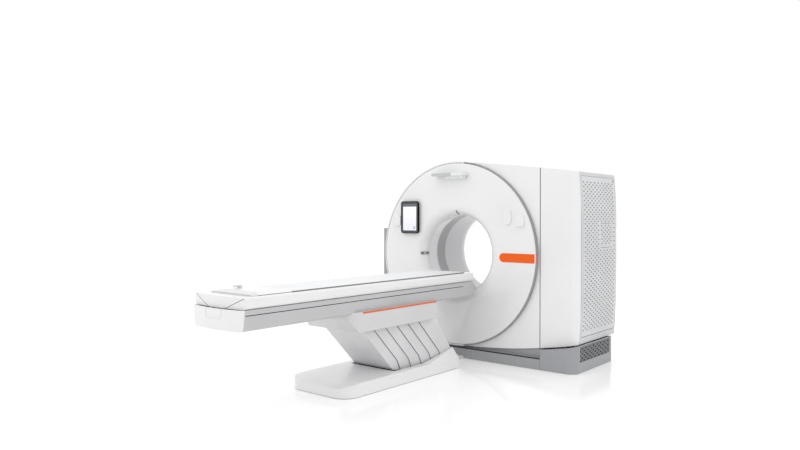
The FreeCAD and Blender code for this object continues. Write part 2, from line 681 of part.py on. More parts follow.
def control_parts():
    """Oval surround on the flare and its two push buttons."""
    place = control_frame()

    def stadium(x, half_length, half_height, z0, z1):
        corner = half_height - 0.1
        return rounded_block(x - half_length, x + half_length, -half_height, half_height, z0, z1,
                             [corner] * 4)

    oval = stadium(0, CONTROL_HALF_LENGTH, CONTROL_HALF_HEIGHT, -14, 4)
    buttons = []
    for sign in (-1, 1):
        x = sign * BUTTON_PITCH / 2
        oval = oval.cut(stadium(x, BUTTON_HALF_LENGTH + BUTTON_GAP, BUTTON_HALF_HEIGHT + BUTTON_GAP, -20, 20))
        button = stadium(x, BUTTON_HALF_LENGTH, BUTTON_HALF_HEIGHT, BUTTON_TRAVEL + 0.6, 5.2)
        button.Placement = place.multiply(button.Placement)
        buttons.append(button)
    oval.Placement = place.multiply(oval.Placement)
    oval = oval.common(flare_band(FIT, 14.0))
    return oval, buttons


TABLET = (-605.0, -396.0, 1110.0, 1414.0)
TABLET_THICK = 18.0
DOCK_DEPTH = 12.0


def tablet_parts():
    """Tablet case with its glass; it hangs in front of the left dock."""
    x0, x1, z0, z1 = TABLET
    back = DISC_FACE_Y - DOCK_DEPTH - FIT
    front = back - TABLET_THICK
    case = rounded_plate_y(x0, x1, z0, z1, front, back, 26)
    case = case.makeFillet(3.0, [e for e in case.Edges if abs(e.CenterOfMass.y - back) < 0.01])
    glass_box = (x0 + 6, x1 - 6, z0 + 6, z1 - 6)
    pocket = rounded_plate_y(*glass_box, front - 1, front + 2, 20)
    glass = rounded_plate_y(*glass_box, front, front + 2, 20)
    return case.cut(pocket), glass


def side_docks():
    """Four shallow bosses on the disc: a capsule and a rounded square on each side."""
    docks = []
    face = DISC_FACE_Y
    for sign in (-1, 1):
        cap = sorted((sign * 508.0, sign * 586.0))
        square = sorted((sign * 625.0, sign * 711.0))
        docks.append(rounded_plate_y(cap[0], cap[1], 1197, 1342, face - DOCK_DEPTH, face, 38.5))
        docks.append(rounded_plate_y(square[0], square[1], 1181, 1282, face - 16, face, 26))
    rounded = []
    for dock in docks:
        front = min(v.Y for v in dock.Vertexes)
        edges = [e for e in dock.Edges if abs(e.CenterOfMass.y - front) < 0.01]
        rounded.append(dock.makeFillet(4.0, edges))
    return rounded


def display_hood():
    """Slim visor standing out at the top of the disc, with a thicker box under its right part."""
    visor = rounded_block(*HOOD_X, -464, DISC_FACE_Y, *HOOD_Z, [12, 12, 0, 0])
    under = rounded_block(*HOOD_BOX_X, -452, DISC_FACE_Y, HOOD_BOX_LOW_Z, HOOD_Z[0], [10, 10, 0, 0])
    low = HOOD_BOX_LOW_Z - 8
    under = under.cut(prism_x([(-460, low), (-460, low + 24), (-430, low)], HOOD_X[0], HOOD_X[1]))
    screen = box(HOOD_BOX_X[0] + 14, HOOD_BOX_X[1] - 14, -470, -449, low + 17, low + 28)
    return fuse([visor, under]).cut(screen)


def orange_strip():
    """Flat strip with a round left end that runs to the edge of the disc."""
    z0, z1 = 878.0, 955.0
    y0, y1 = DISC_FACE_Y - 2.0, DISC_FACE_Y
    strip = rounded_plate_y(470, 900, z0, z1, y0, y1, 38)
    keep = cylinder("y", DISC_RADIUS - 14, y0 - 1, y1 + 1, 0, ISO_HEIGHT)
    return strip.common(keep)


# ---------------------------------------------------------------- base
def plinth_block(d, open_top):
    """Low skirt with the raised part on it, all faces moved in by d."""
    corner = PLINTH_CORNER - d
    x0, x1, y0, y1 = BASE_LEFT_X + d, BASE_RIGHT_X - d, BASE_FRONT_Y + d, BASE_REAR_Y - d
    z0 = FLOOR_GAP if d == 0 else -1.0
    skirt = rounded_block(x0, x1, y0, y1, z0, PLINTH_TOP - d, [corner, corner, 30 - d, 30 - d])
    start = 130.0
    lift = ISO_HEIGHT - math.sqrt(DRUM_RADIUS ** 2 - 60.0 ** 2) - PLINTH_GAP + 4
    beyond = x1 + 20
    if open_top:
        profile = box(x0 + 40, beyond, y0 - 20, y1 + 20, 60, FAR)
    else:
        end_z = BODY_RIGHT_LOW_Z - PLINTH_GAP + 5
        edges = [
            line((x0 + 40, 0, 60), (beyond, 0, 60)),
            line((beyond, 0, 60), (beyond, 0, end_z)),
            arc((beyond, 0, end_z), (700, 0, 154 - PLINTH_GAP), (start, 0, lift)),
            line((start, 0, lift), (x0 + 40, 0, PLINTH_TOP)),
            line((x0 + 40, 0, PLINTH_TOP), (x0 + 40, 0, 60)),
        ]
        wire = wire_of(edges)
        wire.translate(Vec(0, y0 - 20, 0))
        profile = Part.Face(wire).extrude(Vec(0, y1 - y0 + 40, 0))
    plan = rounded_block(x0, x1, y0, y1, 50, FAR, [corner, corner, 30 - d, 30 - d])
    set_back = box(x0 - 10, RAISED_FLUSH_X + d, y0 - 10, BASE_FRONT_Y + LEDGE_BACK + d, 50, FAR + 1)
    return skirt, profile.common(plan).cut(set_back)


GRILLE_Y = (-280.0, 310.0)
GRILLE_Z = (86.0, 214.0)


def base_plinth():
    """Grey cover around the base: front skirt, set-back ledge and the wall on the right."""
    skirt, raised = plinth_block(0, False)
    skirt_in, raised_in = plinth_block(PANEL + 1, True)
    shell = fuse([skirt, raised]).cut(fuse([skirt_in, raised_in]))
    window = rounded_plate_x(GRILLE_Y[0], GRILLE_Y[1], GRILLE_Z[0], GRILLE_Z[1], 1100, 1200, 8)
    return shell.cut(window).cut(screw_set(0.0))


def base_grille():
    """Dark perforated plate behind the window in the plinth's right wall."""
    x1 = BASE_RIGHT_X - PANEL - 1
    wire = plate_wire_x(GRILLE_Y[0] - 12, GRILLE_Y[1] + 12, GRILLE_Z[0] - 8, GRILLE_Z[1] + 4, x1 - 3, 6)
    places = slot_places(GRILLE_Y[0] + 6, GRILLE_Y[1] - 6, GRILLE_Z[0] + 4, GRILLE_Z[1] - 2)
    return perforated(wire, places, x1 - 3, x1)


SCREW_X = (-700.0, -250.0, 200.0, 650.0)
SCREW_RADIUS = 8.0


def screw_set(proud):
    """Cover screws along the front skirt of the plinth."""
    y = BASE_FRONT_Y - proud
    heads = [cylinder("y", SCREW_RADIUS, y, BASE_FRONT_Y + 3, x, 50.0) for x in SCREW_X]
    shanks = [cylinder("y", 3.0, BASE_FRONT_Y + 3, BASE_FRONT_Y + 16, x, 50.0) for x in SCREW_X]
    return fuse_pairs(heads, shanks)


def fuse_pairs(first, second):
    return Part.makeCompound([fuse([a, b]) for a, b in zip(first, second)])


def tube_beam(x0, x1, y0, y1, z0, z1, wall=6.0):
    """Hollow rectangular beam along its longer horizontal side."""
    outer = box(x0, x1, y0, y1, z0, z1)
    if x1 - x0 > y1 - y0:
        return outer.cut(box(x0 - 1, x1 + 1, y0 + wall, y1 - wall, z0 + wall, z1 - wall))
    return outer.cut(box(x0 + wall, x1 - wall, y0 - 1, y1 + 1, z0 + wall, z1 - wall))


BEAM_LOW = 12.0
BEAM_TOP = 88.0


def base_frame():
    """Welded steel frame on four bolted feet and a middle foot, with posts for the covers."""
    parts = []
    for y in (-210.0, 210.0):
        parts.append(tube_beam(-880, 1130, y - 40, y + 40, BEAM_LOW, BEAM_TOP))
    for x in (-800.0, -300.0, 300.0, 860.0, 1080.0):
        parts.append(box(x - 30, x + 30, -170, 170, BEAM_LOW, BEAM_TOP).cut(
            box(x - 24, x + 24, -171, 171, BEAM_LOW + 6, BEAM_TOP - 6)))
    holes = []
    for sx in (-1, 1):
        for sy in (-1, 1):
            x = BOLT_CENTRE_X + sx * BOLT_SPACING_X / 2
            y = sy * BOLT_SPACING_Y / 2
            y0, y1 = sorted((sy * 170.0, y + sy * 45))
            parts.append(box(x - 60, x + 60, y0, y1, 0, BEAM_LOW))
            holes.append(cylinder("z", BOLT_HOLE_RADIUS, -1, BEAM_LOW + 1, x, y))
    parts.append(box(-150, 150, -250, 250, 0, BEAM_LOW))
    parts.append(box(-24, 24, -171, 171, BEAM_LOW, BEAM_LOW + 6))
    near = body(2 * PANEL + 2 * SEAT)
    posts = [
        box(1040, 1084, -246, -206, BEAM_TOP - 1, 300),
        box(1078, 1300, -246, -206, 236, 1560).common(near),
        box(1040, 1084, 236, 345, BEAM_TOP - 1, 300),
        box(1040, 1084, 344, 438, 262, 300),
        box(1078, 1300, 402, 438, 262, 1560).common(near),
    ]
    pivot_room = box(door_pivot()[0] - 15, 1300, -300, 450, DOOR_LOW_Z - 10, DOOR_LOW_Z + 34)
    posts = [post.cut(pivot_room) for post in posts]
    frame = fuse(parts + posts)
    return frame.cut(Part.makeCompound(holes))


# ---------------------------------------------------------------- inside the gantry
def groove(radius):
    return Part.makeTorus(BALL_CIRCLE, radius, Vec(0, (RACE_FRONT_Y + RACE_REAR_Y) / 2, ISO_HEIGHT),
                          Vec(0, 1, 0))


def bearing():
    """Outer race, inner race and the ring of balls between them."""
    track = groove(BALL_RADIUS + 2 * FIT)
    inner = ring(HUB_OUTER, BALL_CIRCLE - RACE_HALF, RACE_FRONT_Y, RACE_REAR_Y).cut(track)
    outer = ring(BALL_CIRCLE + RACE_HALF, OUTER_RACE_RADIUS, RACE_FRONT_Y, RACE_REAR_Y).cut(track)
    y = (RACE_FRONT_Y + RACE_REAR_Y) / 2
    balls = []
    for index in range(BALL_COUNT):
        angle = 2 * math.pi * index / BALL_COUNT
        centre = Vec(BALL_CIRCLE * math.cos(angle), y, ISO_HEIGHT + BALL_CIRCLE * math.sin(angle))
        balls.append(Part.makeSphere(BALL_RADIUS, centre))
    return outer, inner, Part.makeCompound(balls)


STANDOFF_ANGLES = (45.0, 135.0, 225.0, -60.0)
STANDOFF_CIRCLE = 807.0
STANDOFF_RADIUS = 12.0


def stator_frame():
    """Upright ring that holds the outer race, on two legs, with arms that carry the covers."""
    y0, y1 = STATOR_FRONT_Y, STATOR_REAR_Y
    plate = cylinder("y", STATOR_RADIUS, y0, y1, 0, ISO_HEIGHT)
    legs = [prism_y([(-640, BEAM_TOP), (-430, BEAM_TOP), (-330, 500), (-640, 700)], y0, y1),
            prism_y([(640, BEAM_TOP), (430, BEAM_TOP), (330, 500), (640, 700)], y0, y1)]
    feet = [box(a, b, -60, 170, BEAM_TOP, BEAM_TOP + 18) for a, b in ((-660, -410), (410, 660))]
    motor_lug = prism_y([(560, 380), (PULLEY_X + 90, 380), (PULLEY_X + 90, 560), (560, 640)], y0, y1)
    top_lug = box(-60, 60, y0, y1, ISO_HEIGHT + STATOR_RADIUS - 20, 1800).common(body(PANEL + FIT))
    lugs = []
    bars = []
    for angle in STANDOFF_ANGLES:
        a = math.radians(angle)
        lug = box(STATOR_RADIUS - 20, STANDOFF_CIRCLE + 14, y0, y1, -30, 30)
        lug.rotate(Vec(0, 0, 0), Vec(0, 1, 0), -angle)
        lug.translate(Vec(0, 0, ISO_HEIGHT))
        lugs.append(lug)
        bars.append(cylinder("y", STANDOFF_RADIUS, BODY_FRONT_Y + PANEL + 0.7, y0 + 1,
                             STANDOFF_CIRCLE * math.cos(a), ISO_HEIGHT + STANDOFF_CIRCLE * math.sin(a)))
    frame = fuse([plate, motor_lug, top_lug] + legs + feet + lugs + bars)
    frame = frame.cut(cylinder("y", OUTER_RACE_RADIUS, y0 - 1, y1 + 1, 0, ISO_HEIGHT))
    return frame.cut(cylinder("y", 30, y0 - 1, y1 + 1, PULLEY_X, PULLEY_Z))


def rotor_drum():
    """Turning drum: front plate with its belt rim and the hub that carries the inner race."""
    plate = ring(DRUM_INNER, DRUM_RIM - 6, DRUM_FRONT_Y, DRUM_REAR_Y)
    rim = ring(DRUM_RIM - 14, DRUM_RIM, -DRUM_REAR_Y, DRUM_REAR_Y)
    hub = ring(HUB_INNER, HUB_OUTER, DRUM_REAR_Y - 1, STATOR_REAR_Y + 1)
    flange = ring(HUB_OUTER - 1, HUB_OUTER + 18, DRUM_REAR_Y - 1, RACE_FRONT_Y)
    drum = fuse([plate, rim, hub, flange])
    windows = []
    for index in range(8):
        a = math.radians(22.5 + 45 * index)
        windows.append(cylinder("y", 45, DRUM_FRONT_Y - 2, DRUM_REAR_Y + 2, 600 * math.cos(a),
                                ISO_HEIGHT + 600 * math.sin(a)))
    return drum.cut(Part.makeCompound(windows))


def xray_tube():
    """Tube housing along the bore axis direction, with its mounting foot and beam box."""
    z = ISO_HEIGHT + 575
    housing = cylinder("y", 105, -205, DRUM_FRONT_Y, 0, z)
    cap = cylinder("y", 80, -225, -205, 0, z)
    beam_box = box(-95, 95, -150, -50, ISO_HEIGHT + 405, z - 60)
    foot = box(-150, 150, -24, DRUM_FRONT_Y, z - 80, z + 80)
    horn = cylinder("x", 34, -170, -80, -110, z + 20)
    return fuse([housing, cap, beam_box, foot, horn])


def detector_arc():
    """Curved detector facing the focal spot, with the rail that bolts it to the drum."""
    focus = ISO_HEIGHT + FOCUS_HEIGHT
    half = math.radians(25.0)

    def sector(r0, r1, y0, y1):
        def at(r, a):
            return (r * math.sin(a), y0, focus - r * math.cos(a))
        edges = [
            arc(at(r0, -half), at(r0, 0), at(r0, half)),
            line(at(r0, half), at(r1, half)),
            arc(at(r1, half), at(r1, 0), at(r1, -half)),
            line(at(r1, -half), at(r0, -half)),
        ]
        return Part.Face(wire_of(edges)).extrude(Vec(0, y1 - y0, 0))

    face = sector(DETECTOR_RADIUS, DETECTOR_RADIUS + 45, -150, -50)
    rail = sector(DETECTOR_RADIUS + 22, DETECTOR_RADIUS + 45, -51, DRUM_FRONT_Y)
    return fuse([face, rail])


def generator_modules():
    """Two equal high-voltage modules, one on each side of the ring."""
    block = rounded_plate_y(482, 672, ISO_HEIGHT - 135, ISO_HEIGHT + 135, -200, DRUM_FRONT_Y, 18)
    fins = [box(500 + 26 * k, 510 + 26 * k, -206, -199, ISO_HEIGHT - 110, ISO_HEIGHT + 110) for k in range(6)]
    module = fuse([block] + fins)
    return Part.makeCompound([module, mirrored(module)])


SLIP_RADIUS = 404.0


def slip_ring():
    """Ring with brush tracks at the back of the drum's hub."""
    disc = ring(392, HUB_OUTER, STATOR_REAR_Y + 1, STATOR_REAR_Y + 13)
    barrel = ring(392, SLIP_RADIUS, STATOR_REAR_Y + 12, 140)
    tracks = [ring(SLIP_RADIUS - 2, SLIP_RADIUS + 1, y, y + 6) for y in (96.0, 108.0, 120.0, 132.0)]
    return fuse([disc, barrel]).cut(Part.makeCompound(tracks))


def brush_block():
    """Brush holder over the slip ring, on an arm from the stator."""
    z = ISO_HEIGHT
    head = box(-50, 50, 94, 134, z + SLIP_RADIUS - 8, z + 470)
    arm = box(-50, 50, 94, 134, z + 469, z + 650)
    foot = box(-50, 50, STATOR_REAR_Y, 95, z + 590, z + 650)
    return fuse([head, arm, foot]).cut(cylinder("y", SLIP_RADIUS + SEAT, 80, 150, 0, z))


def drive_motor():
    """Motor behind the stator with its shaft through to the pulley."""
    body_part = cylinder("y", 75, STATOR_REAR_Y, 320, PULLEY_X, PULLEY_Z)
    shaft = cylinder("y", MOTOR_SHAFT, -18, STATOR_REAR_Y + 1, PULLEY_X, PULLEY_Z)
    box_part = box(PULLEY_X - 45, PULLEY_X + 45, 130, 230, PULLEY_Z + 60, PULLEY_Z + 110)
    fins = [cylinder("y", 82, y, y + 8, PULLEY_X, PULLEY_Z) for y in (240.0, 260.0, 280.0, 300.0)]
    return fuse([body_part, shaft, box_part] + fins)


def motor_pulley():
    wheel = cylinder("y", PULLEY_RADIUS, -14, DRUM_REAR_Y, PULLEY_X, PULLEY_Z)
    wheel = wheel.cut(cylinder("y", MOTOR_SHAFT + RUNNING, -20, 20, PULLEY_X, PULLEY_Z))
    dish = cylinder("y", PULLEY_RADIUS - 10, -16, -8, PULLEY_X, PULLEY_Z)
    return wheel.cut(dish.cut(cylinder("y", MOTOR_SHAFT + 10, -17, -7, PULLEY_X, PULLEY_Z)))


def belt_loop(extra, y0, y1):
    """Filled outline of a belt around the drum and the pulley, standing off both by extra."""
    r0, r1 = DRUM_RIM + extra, PULLEY_RADIUS + extra
    dx, dz = PULLEY_X, PULLEY_Z - ISO_HEIGHT
    span = math.hypot(dx, dz)
    base = math.atan2(dz, dx)
    spread = math.acos((r0 - r1) / span)
    a, b = base + spread, base - spread

    def big(t):
        return (r0 * math.cos(t), y0, ISO_HEIGHT + r0 * math.sin(t))

    def small(t):
        return (PULLEY_X + r1 * math.cos(t), y0, PULLEY_Z + r1 * math.sin(t))

    edges = [
        arc(big(a), big(base + math.pi), big(b)),
        line(big(b), small(b)),
        arc(small(b), small(base), small(a)),
        line(small(a), big(a)),
    ]
    return Part.Face(wire_of(edges)).extrude(Vec(0, y1 - y0, 0))


def drive_belt():
    return belt_loop(FIT + BELT_THICK, -10, 10).cut(belt_loop(FIT, -11, 11))


def power_cabinet():
    """Open rack with shelves and power units beside the ring."""
    x0, x1, y0, y1, z0, z1 = 900.0, 1070.0, -180.0, 190.0, BEAM_TOP, 1430.0
    shell = box(x0, x1, y0, y1, z0, z1).cut(box(x0 + 4, x1 + 1, y0 + 4, y1 - 4, z0 + 4, z1 - 4))
    units = []
    for index in range(6):
        z = z0 + 60 + index * 215
        units.append(box(x0 + 3, x1 - 12, y0 + 3, y1 - 3, z, z + 5))
        units.append(rounded_block(x0 + 10, x1 - 16, y0 + 20, y1 - 20, z + 4, z + 130, [8, 8, 8, 8]))
    return fuse([shell] + units)


# ---------------------------------------------------------------- table: lift
def lamella_pins():
    """Y of each lamella's pin, from the front one to the rear one."""
    first_regular = KINK_FIRST_Y + 60
    pins = [first_regular - 110.0]
    pins += [first_regular + KINK_PITCH * k for k in range(4)]
    pins.append(COLUMN_REAR_Y - 37.0)
    return pins


def front_line_y(z):
    """Y of the sloping front panel's outer face at height z."""
    return COLUMN_FOOT_Y - (z - COLUMN_FOOT_Z)


def rear_line_y(z):
    """Y of the column's rear edge at height z."""
    return COLUMN_REAR_Y - max(0.0, z - PEDESTAL_RISE) * 0.738


def kink_y(index):
    return KINK_FIRST_Y + KINK_PITCH * (index - 1)


def front_edge(index):
    """Front edge of a lamella from its foot to its top, as (y, z) points."""
    if index == 0:
        return [(front_line_y(LAMELLA_LOW_Z + 10), LAMELLA_LOW_Z + 10),
                (front_line_y(LAMELLA_TOP_Z), LAMELLA_TOP_Z)]
    k = kink_y(index)
    return [(k + 40, LAMELLA_LOW_Z), (k, KINK_Z), (k - (LAMELLA_TOP_Z - KINK_Z), LAMELLA_TOP_Z)]


REAR_PANEL_Z = 118.0         # foot of the rear panel
OVERLAP_LOW = 8.0            # a lamella reaches this far behind the next one below the kink
OVERLAP_HIGH = 34.0          # and this far above it


def rear_edge(index):
    """Rear edge of a lamella from its top to its foot, as (y, z) points."""
    if index == 5:
        return [(HOUSING_HEAD_Y - 20, LAMELLA_TOP_Z), (rear_line_y(436), 436),
                (COLUMN_REAR_Y, PEDESTAL_RISE), (COLUMN_REAR_Y, REAR_PANEL_Z),
                (COLUMN_REAR_Y - 22, LAMELLA_LOW_Z)]
    k = kink_y(index + 1)
    rise = LAMELLA_TOP_Z - KINK_Z
    return [(k + OVERLAP_HIGH - rise, LAMELLA_TOP_Z),
            (k + OVERLAP_LOW, KINK_Z + OVERLAP_HIGH - OVERLAP_LOW), (k + OVERLAP_LOW, KINK_Z),
            (k + 40 + OVERLAP_LOW, LAMELLA_LOW_Z)]


def lamella(index):
    """One pair of side plates; the front and rear ones are joined by a panel across."""
    x0 = LAMELLA_X + LAMELLA_STEP * index
    x1 = x0 + LAMELLA_THICK
    outline = front_edge(index) + rear_edge(index)
    plate = prism_x(outline, x0, x1)
    pin_y = lamella_pins()[index]
    plate = plate.cut(cylinder("x", LAMELLA_PIN + RUNNING, x0 - 1, x0 + 2.5, pin_y, LAMELLA_PIN_Z))
    if index < 5:
        # as the lift folds, the next lamella's pin passes the rear corner of this foot
        reach = lamella_pins()[index + 1] - pin_y - LAMELLA_PIN - PIN_ROOM
        passing = box(x0 - 1, x1 + 1, pin_y, pin_y + 400, LAMELLA_PIN_Z - 80, LAMELLA_PIN_Z + 25)
        plate = plate.cut(passing.cut(cylinder("x", reach, x0 - 2, x1 + 2, pin_y, LAMELLA_PIN_Z)))
    pair = [plate, mirrored(plate)]
    if index == 0:
        z0, z1 = LAMELLA_LOW_Z + 10, LAMELLA_TOP_Z
        t = 5.0 * math.sqrt(2)
        panel = prism_x([(front_line_y(z0), z0), (front_line_y(z0) + t, z0),
                         (front_line_y(z1) + t, z1), (front_line_y(z1), z1)], -x1, x1)
        return fuse(pair + [panel])
    if index == 5:
        z1 = 404.0
        panel = prism_x([(COLUMN_REAR_Y - 5, REAR_PANEL_Z), (COLUMN_REAR_Y, REAR_PANEL_Z),
                         (COLUMN_REAR_Y, PEDESTAL_RISE), (rear_line_y(z1), z1),
                         (rear_line_y(z1) - 6, z1), (COLUMN_REAR_Y - 5, PEDESTAL_RISE - 3)], -x1, x1)
        return fuse(pair + [panel])
    return Part.makeCompound(pair)


PLATE_TOP = 14.0


def table_base():
    """Steel floor plate with the arm brackets, their pins and the lamella brackets."""
    half = PEDESTAL_HALF - PANEL - SEAT
    parts = [rounded_block(-half, half, PEDESTAL_FOOT_Y + PANEL + SEAT, PEDESTAL_HEAD_Y - 30, 0, PLATE_TOP,
                           [118, 118, 0, 0])]
    for y in (ARM_FRONT_Y, ARM_REAR_Y):
        for side in (-1, 1):
            x0, x1 = sorted((side * BRACKET_INNER_X, side * BRACKET_OUTER_X))
            cheek = prism_x([(y - 55, PLATE_TOP - 1), (y + 55, PLATE_TOP - 1), (y + 30, ARM_LOW_Z),
                             (y + 18, ARM_LOW_Z + 26), (y - 18, ARM_LOW_Z + 26), (y - 30, ARM_LOW_Z)],
                            x0, x1)
            if y == ARM_FRONT_Y:
                cheek = cheek.cut(cylinder("x", ARM_PIN + RUNNING, x0 - 1, x1 + 1, y, ARM_LOW_Z))
            parts.append(cheek)
    parts.append(cylinder("x", ARM_PIN, -BRACKET_OUTER_X, BRACKET_OUTER_X, ARM_REAR_Y, ARM_LOW_Z))
    rail_out = LAMELLA_X - SEAT
    for side in (-1, 1):
        x0, x1 = sorted((side * (rail_out - 9), side * rail_out))
        pins_y = lamella_pins()
        z = LAMELLA_PIN_Z
        rail = prism_x([(pins_y[0] - 8, z - 7), (pins_y[0] + 42, z - 9), (pins_y[0] + 48, PLATE_TOP - 1),
                        (pins_y[5] - 30, PLATE_TOP - 1), (pins_y[5] - 24, z - 9), (pins_y[5] + 9, z - 7),
                        (pins_y[5] + 9, z + 10), (pins_y[0] - 8, z + 10)], x0, x1)
        parts.append(rail)
        for index, y in enumerate(pins_y):
            end = LAMELLA_X + LAMELLA_STEP * index + 2.2
            a, b = sorted((side * (rail_out - 2), side * end))
            parts.append(cylinder("x", LAMELLA_PIN, a, b, y, LAMELLA_PIN_Z))
    base = fuse(parts)
    bolts = [cylinder("z", 9, -1, PLATE_TOP + 1, sx * TABLE_BOLT_X / 2, TABLE_BOLT_MID + sy * TABLE_BOLT_Y / 2)
             for sx in (-1, 1) for sy in (-1, 1)]
    return base.cut(Part.makeCompound(bolts))


TABLE_BOLT_X = 440.0
TABLE_BOLT_Y = 1100.0
TABLE_BOLT_MID = -1414.0
WELL_HALF = 230.0
WELL_FRONT_Y = -1492.0


def pedestal_cover():
    """White foot cover: flat in front, rising at the rear, with a well for the lift column."""
    foot, head, half = PEDESTAL_FOOT_Y, PEDESTAL_HEAD_Y, PEDESTAL_HALF

    def form(d):
        side = [(foot + d, FLOOR_GAP if d == 0 else -1), (foot + d, PEDESTAL_EDGE - d),
                (foot + 50 + d, PEDESTAL_TOP - 8 - d), (foot + 150, PEDESTAL_TOP - d),
                (-1137, PEDESTAL_TOP - d), (head - d, PEDESTAL_RISE - d),
                (head - d, FLOOR_GAP if d == 0 else -1)]
        slab = prism_x(side, -half + d, half - d)
        plan = rounded_block(-half + d, half - d, foot + d, head + 30, -5, 400, [120 - d, 120 - d, 0, 0])
        shoulder = PEDESTAL_SHOULDER_Z - d
        lean = (200 - shoulder) * PEDESTAL_LEAN
        cross = prism_y([(-half + d, -5), (half - d, -5), (half - d, shoulder), (half - lean - d, 200),
                         (-half + lean + d, 200), (-half + d, shoulder)], foot - 5, head + 60)
        return slab.common(plan).common(cross)

    shell = form(0).cut(form(PANEL))
    well = box(-WELL_HALF, WELL_HALF, WELL_FRONT_Y, COLUMN_REAR_Y + 8, 20, 400)
    return shell.cut(well)


def arm_shape(open_end):
    """Lift arm lying between (0, 0) and (-step, step): two cheeks, eyes and a cross web."""
    length = LIFT_STEP * math.sqrt(2)
    cheeks = []
    for side in (-1, 1):
        x0, x1 = sorted((side * ARM_INNER_X, side * ARM_OUTER_X))
        bar = box(x0, x1, -length, 0, -ARM_HALF_DEPTH, ARM_HALF_DEPTH)
        eyes = [cylinder("x", ARM_HALF_DEPTH + 6, x0, x1, y, 0) for y in (0, -length)]
        cheeks.append(fuse([bar] + eyes))
    web = box(-ARM_INNER_X - 1, ARM_INNER_X + 1, -length + 110, -130, -10, 10)
    arm = fuse(cheeks + [web])
    low_hole = cylinder("x", ARM_PIN + RUNNING, -200, 200, 0, 0)
    high_hole = cylinder("x", ARM_PIN + (FIT if open_end else RUNNING), -200, 200, -length, 0)
    arm = arm.cut(low_hole).cut(high_hole)
    arm.rotate(Vec(0, 0, 0), Vec(1, 0, 0), -45)
    return arm


def lift_arm(pivot_y, open_end):
    arm = arm_shape(open_end)
    arm.translate(Vec(0, pivot_y, ARM_LOW_Z))
    return arm


def lift_motor():
    """Worm gearmotor whose output shaft is the front arm's lower pivot."""
    gearbox = cylinder("x", 60, -50, 50, ARM_FRONT_Y, ARM_LOW_Z)
    shaft = cylinder("x", ARM_PIN, -BRACKET_OUTER_X - 6, BRACKET_OUTER_X + 6, ARM_FRONT_Y, ARM_LOW_Z)
    foot = box(-50, 50, ARM_FRONT_Y - 60, ARM_FRONT_Y + 60, PLATE_TOP, ARM_LOW_Z - 20)
    motor = cylinder("y", 36, ARM_FRONT_Y + 50, ARM_FRONT_Y + 230, 0, PLATE_TOP + 40)
    return fuse([gearbox, shaft, foot, motor])


CARRIAGE_LOW_Z = 505.0


def lift_carriage():
    """Frame under the trough with the pins for both arms."""
    y0, y1 = ARM_FRONT_Y - LIFT_STEP - 35, ARM_REAR_Y - LIFT_STEP + 45
    top_z = ARM_LOW_Z + LIFT_STEP
    parts = [box(-180, 180, y0, y1 + 120, TROUGH_LOW_Z - 10, TROUGH_LOW_Z)]
    for side in (-1, 1):
        a, b = sorted((side * BRACKET_INNER_X, side * BRACKET_OUTER_X))
        parts.append(box(a, b, y0, y1, CARRIAGE_LOW_Z, TROUGH_LOW_Z - 9))
    for y in (ARM_FRONT_Y, ARM_REAR_Y):
        parts.append(cylinder("x", ARM_PIN, -BRACKET_OUTER_X, BRACKET_OUTER_X, y - LIFT_STEP, top_z))
    return fuse(parts)


def housing_form(d, z1):
    """Carriage housing as a block: wide, with a round front and sloping lower edges."""
    h = HOUSING_HALF - d
    front = HOUSING_FOOT_Y + d
    plan_low = rounded_block(-h, h, front, HOUSING_HEAD_Y + (1 if d else 0), HOUSING_LOW_Z - 1, z1,
                             [110 - d, 110 - d, 0, 0])
    side = [(front + 78, HOUSING_LOW_Z - 1), (HOUSING_HEAD_Y + 5, HOUSING_LOW_Z - 1),
            (HOUSING_HEAD_Y + 5, z1 + 1), (front - 1, z1 + 1), (front - 1, HOUSING_TOP_Z - 40),
            (front + 10, HOUSING_TOP_Z - 62)]
    return plan_low.common(prism_x(side, -400, 400))


def carriage_housing():
    """White housing around the carriage, open below and at its rear."""
    outer = housing_form(0, HOUSING_TOP_Z).cut(box(-400, 400, -3000, 0, HOUSING_LOW_Z - 5, HOUSING_LOW_Z))
    inner = housing_form(PANEL, HOUSING_TOP_Z + 5)
    shell = outer.cut(inner)
    rim = housing_form(0, HOUSING_TOP_Z).common(box(-400, 400, -3000, 0, HOUSING_TOP_Z - 4, HOUSING_TOP_Z))
    return fuse([shell, rim]).cut(trough_form(0, TROUGH_HEAD_Y, TROUGH_FOOT_Y))


# ---------------------------------------------------------------- table: trough and top
def trough_form(d, head, foot):
    """Trough section along Y as a block, sides moved in by d."""
    low, top = TROUGH_LOW_HALF - d, TROUGH_TOP_HALF - d
    r = 14.0
    points = [(-low + r, TROUGH_LOW_Z + d), (low - r, TROUGH_LOW_Z + d), (low, TROUGH_LOW_Z + r + d),
              (top, TROUGH_TOP_Z), (-top, TROUGH_TOP_Z), (-low, TROUGH_LOW_Z + r + d)]
    return prism_y(points, foot, head)


